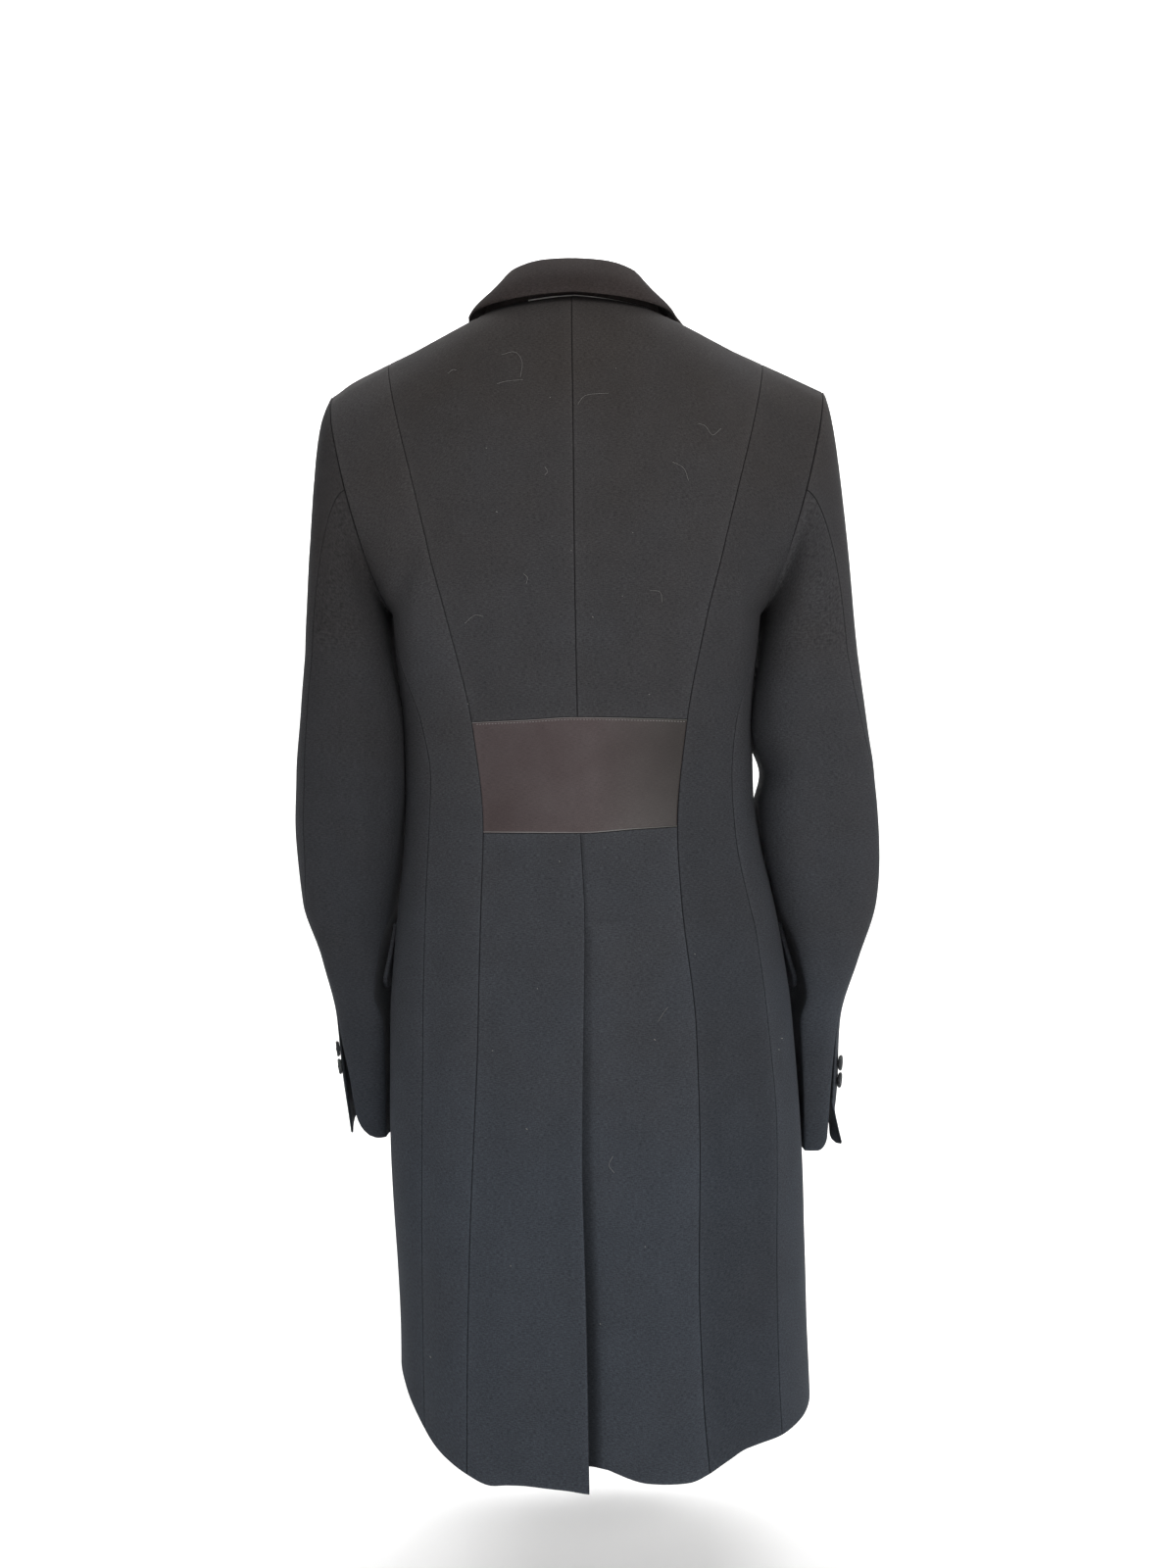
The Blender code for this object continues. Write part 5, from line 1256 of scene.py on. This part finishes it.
def make_sleeve(side, part, name):
    top = part == "top"
    table = SLEEVE_TUBE[side]
    head_z = table[-1][0]
    cuff = head_z - table[0][0]
    v = np.concatenate((shares(HEAD_RUN, True, False), 1.0 + spread_steps(cuff, False, True)[1:]))
    seam = smooth(table, head_z - np.maximum(v - 1.0, 0.0))
    blend = ease(v)
    hind = HEAD_HIND * (1 - blend) + seam[..., 5] * blend
    fore = HEAD_FORE * (1 - blend) + seam[..., 6] * blend
    parted = vent_half(side, v - 1.0 - (cuff - VENT_LENGTH))
    first, last = (hind + parted, fore) if top else (fore - 1.0, hind - parted)
    share = shares(0.14 if top else 0.17)
    q = first[:, None] * (1 - share) + last[:, None] * share
    wrap = q % 1.0
    v2 = v[:, None] + 0 * q
    points = sleeve_point(side, wrap, v2)
    normal = sleeve_normal(side, wrap, v2)
    normal[0] = armhole(side, wrap[0])[1]
    round_ = (seam[..., 5][:, None] - q) * SLEEVE_GIRTH
    height = folds(SLEEVE_FOLDS[side], round_, points[..., 2]) * ease(v2 - 0.3)
    height = height + ripple(points, 21 + side, SLEEVE_RIPPLE) * ease(v2)
    points = points + normal * height[..., None]
    if top:
        above = v2[-1:] - v2
        points = points + vent_flare(side, q - q[:, :1], above) + cuff_rise(side, q, above)
    # Round the corner beside the vent.
    edge = run_length(points, 1)
    if not top:
        edge = edge[:, -1:] - edge
    down = run_length(points, 0)
    corner_wide, corner_high = CUFF_ROUNDING[side, part]
    shorten = roll(edge, corner_wide) * corner_high / corner_wide
    shorten = shorten * np.clip((down - (down[-1:] - 0.05)) / 0.05, 0.0, 1.0)
    upward = unit(points[:-1] - points[1:])
    upward = np.concatenate((upward, upward[-1:]))
    # The left sleeve is in the darker copy of the wool: painted shade.
    cloth_shell(name, points + upward * shorten[..., None], normal,
                WOOL_LEFT_SLEEVE_PAINTED_SHADE if side > 0 else WOOL, {"top": HEM_ROLL})


# ---- looks: collar, lapels, flaps
def spline_rows(rows, count):
    """Smooth curve through a stack of rows, with count rows in the result."""
    n = len(rows)
    at = np.linspace(0.0, n - 1.0, count)
    i = np.clip(at.astype(int), 0, n - 2)
    t = (at - i)[:, None, None]
    p = np.concatenate((2 * rows[:1] - rows[1:2], rows, 2 * rows[-1:] - rows[-2:-1]))
    a, b, c, d = p[i], p[i + 1], p[i + 2], p[i + 3]
    return 0.5 * (2 * b + (c - a) * t + (2 * a - 5 * b + 4 * c - d) * t ** 2
                  + (3 * b - a - 3 * c + d) * t ** 3)


def make_collar(name, part):
    fall = part == "fall"
    end, count = (2.0, 46) if fall else (1.0, 26)
    stations = np.append(np.linspace(0.0, end, count)[:-1], [end - 0.012, end - 0.004, end])
    left, right = (collar_half(side, stations) for side in (1, -1))
    points = np.concatenate((right[:, :0:-1], left), axis=1)
    points = spline_rows(points[:FALL_ROWS], 22) if fall else spline_rows(points[FALL_ROWS:], 12)
    normal = unit(np.cross(np.gradient(points, axis=0), np.gradient(points, axis=1)))
    if normal[0, points.shape[1] // 2, 1] * (1 if fall else -1) < 0:
        normal = -normal
    cloth_shell(name, points, normal, COLLAR_WOOL,
                {"left": 0.0006, "right": 0.0006, "bottom": 0.0008, "top": 0.0004},
                thick=COLLAR_CLOTH, dark_edge=0.8)


def make_lapel(side, name):
    rows = shares(LAPEL_LENGTH)
    keys = np.linspace(0.0, 1.0, len(LAPEL))
    inner_z, outer_x, outer_z = smooth(np.column_stack((keys, LAPEL)), rows).T
    inner_z = inner_z + (LAPEL_TOP_Z - LAPEL[-1][0]) * ease((rows - 0.9) / 0.1)
    level0 = np.where(inner_z < UNDERARM_Z, inner_z - UNDERARM_Z,
                      (inner_z - UNDERARM_Z) / (RIDGE_Z - UNDERARM_Z))
    inner_x = smooth(FRONT_EDGE_WORLD[side], inner_z)[..., 0]
    share = shares(LAPEL_WIDTH)[None, :]
    x = (inner_x[:, None] * (1 - share) + outer_x[:, None] * share) * side
    z = inner_z[:, None] * (1 - share) + outer_z[:, None] * share
    w, level = place_on_front(side, x, z, level0[:, None] + 0 * z)
    rise = LAPEL_RISE + LAPEL_BELLY * np.sin(math.pi * share) ** 2 + 0 * z
    points, normal = hung(side, w, level, lambda p: rise)
    cloth_shell(name, points, normal, SATIN, dict.fromkeys(EDGES, LAPEL_ROLL), slot="satin")


def make_flap(side, name):
    across = shares(FLAP_WIDTH)[None, :]
    down = shares(FLAP_TOP_Z - FLAP_LOW_Z)[:, None]
    w = FLAP_REAR_W + (FLAP_FORE_W - FLAP_REAR_W) * across + 0 * down
    corner = FLAP_CORNER * (np.clip(1 - across / FLAP_ROUNDING, 0, 1) ** 2
                            + np.clip(1 - (1 - across) / FLAP_ROUNDING, 0, 1) ** 2)
    z = FLAP_TOP_Z + (FLAP_LOW_Z + corner - FLAP_TOP_Z) * down
    level = z - UNDERARM_Z - hem_rise(side, w, z)
    flare = FLAP_FLARE * (1 - across) ** 2 + FLAP_FLARE_FORE * (1 - (1 - across) ** 2)
    rise = FLAP_THICK + LAYER_GAP + flare * down ** 1.3
    normal = torso_normal(side, w, level)
    points = torso(side, w, level) + normal * rise[..., None]
    # The flap's lighter wool is painted light.
    cloth_shell(name, points, normal, FLAP_WOOL_PAINTED_LIGHT, {**dict.fromkeys(EDGES, FLAP_ROLL), "bottom": 0.0006},
                thick=FLAP_THICK, dark_edge=0.7)


for key, letter in ((1, "l"), (-1, "r")):
    make_back_upper(key, "back_upper_" + letter)
    make_side_back(key, "side_back_" + letter)
    make_back_skirt(key, "back_skirt_" + letter)
    make_front(key, "front_" + letter)
    make_sleeve(key, "top", "sleeve_top_" + letter)
    make_sleeve(key, "under", "sleeve_under_" + letter)
    make_lapel(key, "lapel_" + letter)
    make_flap(key, "flap_" + letter)
make_waist_panel("waist_panel")
make_collar("collar_stand", "stand")
make_collar("collar_fall", "fall")


# ---- looks: piping, stitches, lint
def neck_piping_painted_highlight():
    """Thin satin cord along the back neck seam, from left of the middle to the right end, coloured
    light grey: a painted highlight on the turned edge.
    """
    lines = []
    for side, high in ((-1, 0.97), (1, 0.42)):
        point, normal, inward, _, _ = neckline(side, np.linspace(0.0, high, 70))
        lines.append(point + normal * 0.0002 + inward * 0.0003)
    line = np.concatenate((lines[0][:0:-1], lines[1])) + np.array([0.0, 0.0002, -0.0003])
    thread_mesh("neck_piping_painted_highlight", [line], 0.00050, NECK_CORD_PAINTED_HIGHLIGHT, "satin")


def waist_lines(level, inset):
    """Outer face of the waist panel along one level, from the right end to the left one."""
    halves = []
    for side in (-1, 1):
        w, at = centre_back(side, np.array([level]), np.linspace(0.004, 0.996, 90))
        at = at + inset
        points = torso(side, w, at)
        normal = torso_normal(side, w, at)
        points = points + normal * ripple(points, WAIST_SEED, WAIST_RIPPLE)[..., None]
        halves.append((points[0], normal[0]))
    return (np.concatenate((right[::-1], left)) for right, left in zip(*halves))


def waist_edging():
    # Light grey cords along the upper and lower edges: a painted highlight on the satin's turned edges.
    for level, inset, radius, name in ((TOP, -0.0004, 0.00028, "waist_edging_top_painted_highlight"),
                                       (LOW, 0.0006, 0.00042, "waist_edging_low_painted_highlight")):
        points, normal = waist_lines(level, inset)
        thread_mesh(name, [points - normal * 0.0001], radius, WAIST_PIPING_PAINTED_HIGHLIGHT, "satin")
    # Fine stitches along the whole upper edge.
    points, normal = waist_lines(TOP, -0.0019)
    length = run_length(points[:, None], 0)[:, 0]
    arch = np.sin(np.linspace(0, math.pi, 5))[:, None] * 0.00025 - 0.00005
    stitches = []
    start = 0.002
    while start < length[-1] - 0.003:
        at = start + np.linspace(0.0, STITCH_LENGTH, 5)
        where, up = (np.stack([np.interp(at, length, values[:, k]) for k in range(3)], axis=1)
                     for values in (points, normal))
        stitches.append(where + up * arch)
        start += 2 * STITCH_LENGTH
    thread_mesh("waist_stitches", stitches, FINE_THREAD, THREAD, "satin")


# Stray fibres on the back: x and z of the bends of each, in millimetres.
FIBRES = (
    ((60, -47), (49, -45), (43, -54), (44, -68)),
    ((63, -73), (55, -71), (42, -70)),
    ((-2, -92), (-9, -84), (-27, -82)),
    ((-99, -105), (-105, -107), (-111, -114), (-118, -108)),
    ((-78, -138), (-87, -143), (-91, -153)),
    ((-60, -241), (-68, -242), (-70, -250)),
    ((89, -266), (81, -260), (74, -261)),
    ((-66, -586), (-70, -580), (-74, -575)),
    ((41, -228), (38, -231), (39, -236)),
    ((24, -143), (22, -147), (24, -150)),
    ((104, -60), (100, -57), (97, -58)),
    ((-30, -690), (-27, -697), (-31, -703)),
)
# Specks: x, z and length in millimetres.
SPECKS = (
    (62.5, -179.0, 1.1), (-14.2, -262.0, 1.2), (-38.0, -245.5, 0.8), (-60.2, -323.0, 0.9),
    (12.7, -459.0, 0.9), (38.0, -670.0, 1.3), (-63.3, -600.0, 1.4), (-97.4, -534.0, 0.9),
    (-173.0, -610.0, 1.4), (-169.0, -618.0, 1.3), (118.0, -865.0, 1.2), (50.0, -777.0, 0.9),
    (71.0, -127.0, 0.6), (20.0, -86.0, 0.6),
    (-33.0, -60.0, 0.6), (-46.0, -196.0, 0.7), (3.0, -210.0, 0.6), (88.0, -330.0, 0.7),
    (30.0, -560.0, 0.7), (-20.0, -820.0, 0.7), (-55.0, -760.0, 0.6), (66.0, -610.0, 0.6),
)


def on_back(side, x, z):
    """A fine line that lies on the back at (x, z)."""
    w, level = place_on_back(side, x, z)
    return hung(side, w, level, lambda p: LINT_RISE)[0]


def lint():
    fibres, dots = [], []
    for bends in FIBRES:
        bends = np.array(bends, float) / 1000
        x, z = spline_rows(bends[:, None, :], 24)[:, 0].T
        fibres.append(on_back(1 if x.mean() > 0 else -1, x, z))
    for x, z, size in SPECKS:
        dots.append(on_back(1 if x > 0 else -1, x / 1000 + np.linspace(-0.5, 0.5, 5) * size / 1000,
                            z / 1000 + np.linspace(-0.2, 0.3, 5) * size / 1000))
    thread_mesh("stray_fibres", fibres, 0.00013, LINT)
    thread_mesh("lint_specks", dots, 0.00030, LINT)


def sew_button(name, node, inside):
    """Wound thread under a button and two stitches over it.  inside is a place behind it."""
    points = np.array([node.matrix_world @ v.co for v in node.data.vertices])
    centre = points.mean(axis=0)
    axis = np.linalg.svd(points - centre)[2][2]
    if np.dot(axis, centre - np.array(inside)) < 0:
        axis = -axis
    up = unit(np.array([0.0, 0.0, 1.0]) - axis * axis[2])
    aside = np.cross(axis, up)
    half = float(((points - centre) @ axis).max())
    shank = centre + axis * np.linspace(-half - SHANK_REACH, -half + SHANK_SINK, 5)[:, None]
    thread_mesh(name + "_shank", [shank], SHANK_RADIUS, BUTTON_THREAD)
    run = np.linspace(-STITCH_LENGTH, STITCH_LENGTH, 7)[:, None]
    arch = half + STITCH_RISE * np.sin(np.linspace(0, math.pi, 7))[:, None]
    stitches = [centre + aside * shift + up * run + axis * arch
                for shift in (-STITCH_APART, STITCH_APART)]
    thread_mesh(name + "_stitches", stitches, FINE_THREAD, BUTTON_THREAD)


neck_piping_painted_highlight()
waist_edging()
lint()


def centre_z(node):
    return float(np.mean([(node.matrix_world @ v.co)[2] for v in node.data.vertices]))


# x and y of a place inside each cuff, and a place inside the body for the front button.
INSIDE_CUFF = {"l": (0.1845, -0.0545), "r": (-0.213, -0.055)}
INSIDE_BODY = (0.0, 0.0, -0.40)
for node_name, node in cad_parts.items():
    if "button" in node_name:
        node.data.materials.clear()
        node.data.materials.append(HORN)
        cuff = INSIDE_CUFF.get(node_name.rsplit("_", 1)[-1][0])
        sew_button(node_name, node, (*cuff, centre_z(node)) if cuff else INSIDE_BODY)


# ---- floor, light and camera
def stage_floor():
    """Floor that turns up into a back wall over a quarter round."""
    turns = [math.pi / 2 * i / 12 for i in range(13)]
    profile = [(4.0, FLOOR_Z)]
    profile += [(WALL_Y + BEND * (1 - math.sin(a)), FLOOR_Z + BEND * (1 - math.cos(a))) for a in turns]
    profile.append((WALL_Y, 4.0))
    verts = [(x, y, z) for y, z in profile for x in (-7.0, 7.0)]
    faces = [(i, i + 1, i + 3, i + 2) for i in range(0, len(verts) - 2, 2)]
    mesh = bpy.data.meshes.new("floor")
    mesh.from_pydata(verts, [], faces)
    mesh.polygons.foreach_set("use_smooth", [True] * len(faces))
    n = Nodes("pale_floor")
    soft = n.noise(n.at(), 1.5, 2.0, 0.5)
    n.set(Base_Color=n.ramp(soft, ((0.3, (0.90, 0.90, 0.90)), (0.7, (0.94, 0.94, 0.94)))),
          Roughness=0.9)
    mesh.materials.append(n.mat)
    link(bpy.data.objects.new("floor", mesh))


def area_light(name, at, aim, size, power, colour=(1, 1, 1)):
    light = bpy.data.lights.new(name, "AREA")
    light.shape = "RECTANGLE"
    light.size, light.size_y = size
    light.energy = power
    light.color = colour
    obj = link(bpy.data.objects.new(name, light))
    obj.location = at
    way = np.array(at, float) - np.array(aim, float)
    pitch = math.atan2(math.hypot(way[0], way[1]), way[2])
    obj.rotation_euler = (pitch, 0.0, math.atan2(way[0], -way[1]))


stage_floor()
area_light("key", (-1.25, 2.8, 0.9), (0, 0, -0.50), (1.7, 1.7), 64, (1.0, 0.99, 0.975))
area_light("fill", (2.4, 2.2, 0.0), (0, 0, -0.6), (2.2, 2.2), 3, (0.97, 0.985, 1.0))
area_light("top", (0.0, 0.4, 2.6), (0, 0, -0.4), (2.4, 2.0), 4)
area_light("backdrop", (0.0, -1.1, 2.4), (0, -2.6, -0.8), (5.0, 0.8), 170)

world = bpy.data.worlds.new("studio")
world.use_nodes = True
background = world.node_tree.nodes["Background"].inputs
background[0].default_value = (1.0, 1.0, 1.0, 1.0)
background[1].default_value = 0.34
bpy.context.scene.world = world

camera = bpy.data.cameras.new("camera")
camera.lens = 27.0
camera.sensor_fit = "VERTICAL"
camera.sensor_height = 36.0
camera.sensor_width = 27.0
camera_obj = link(bpy.data.objects.new("camera", camera))
camera_obj.location = (-0.0104, 1.04, -0.396)
camera_obj.rotation_euler = (math.pi / 2, 0.0, math.pi)
bpy.context.scene.camera = camera_obj
bpy.context.scene.view_settings.view_transform = "Standard"
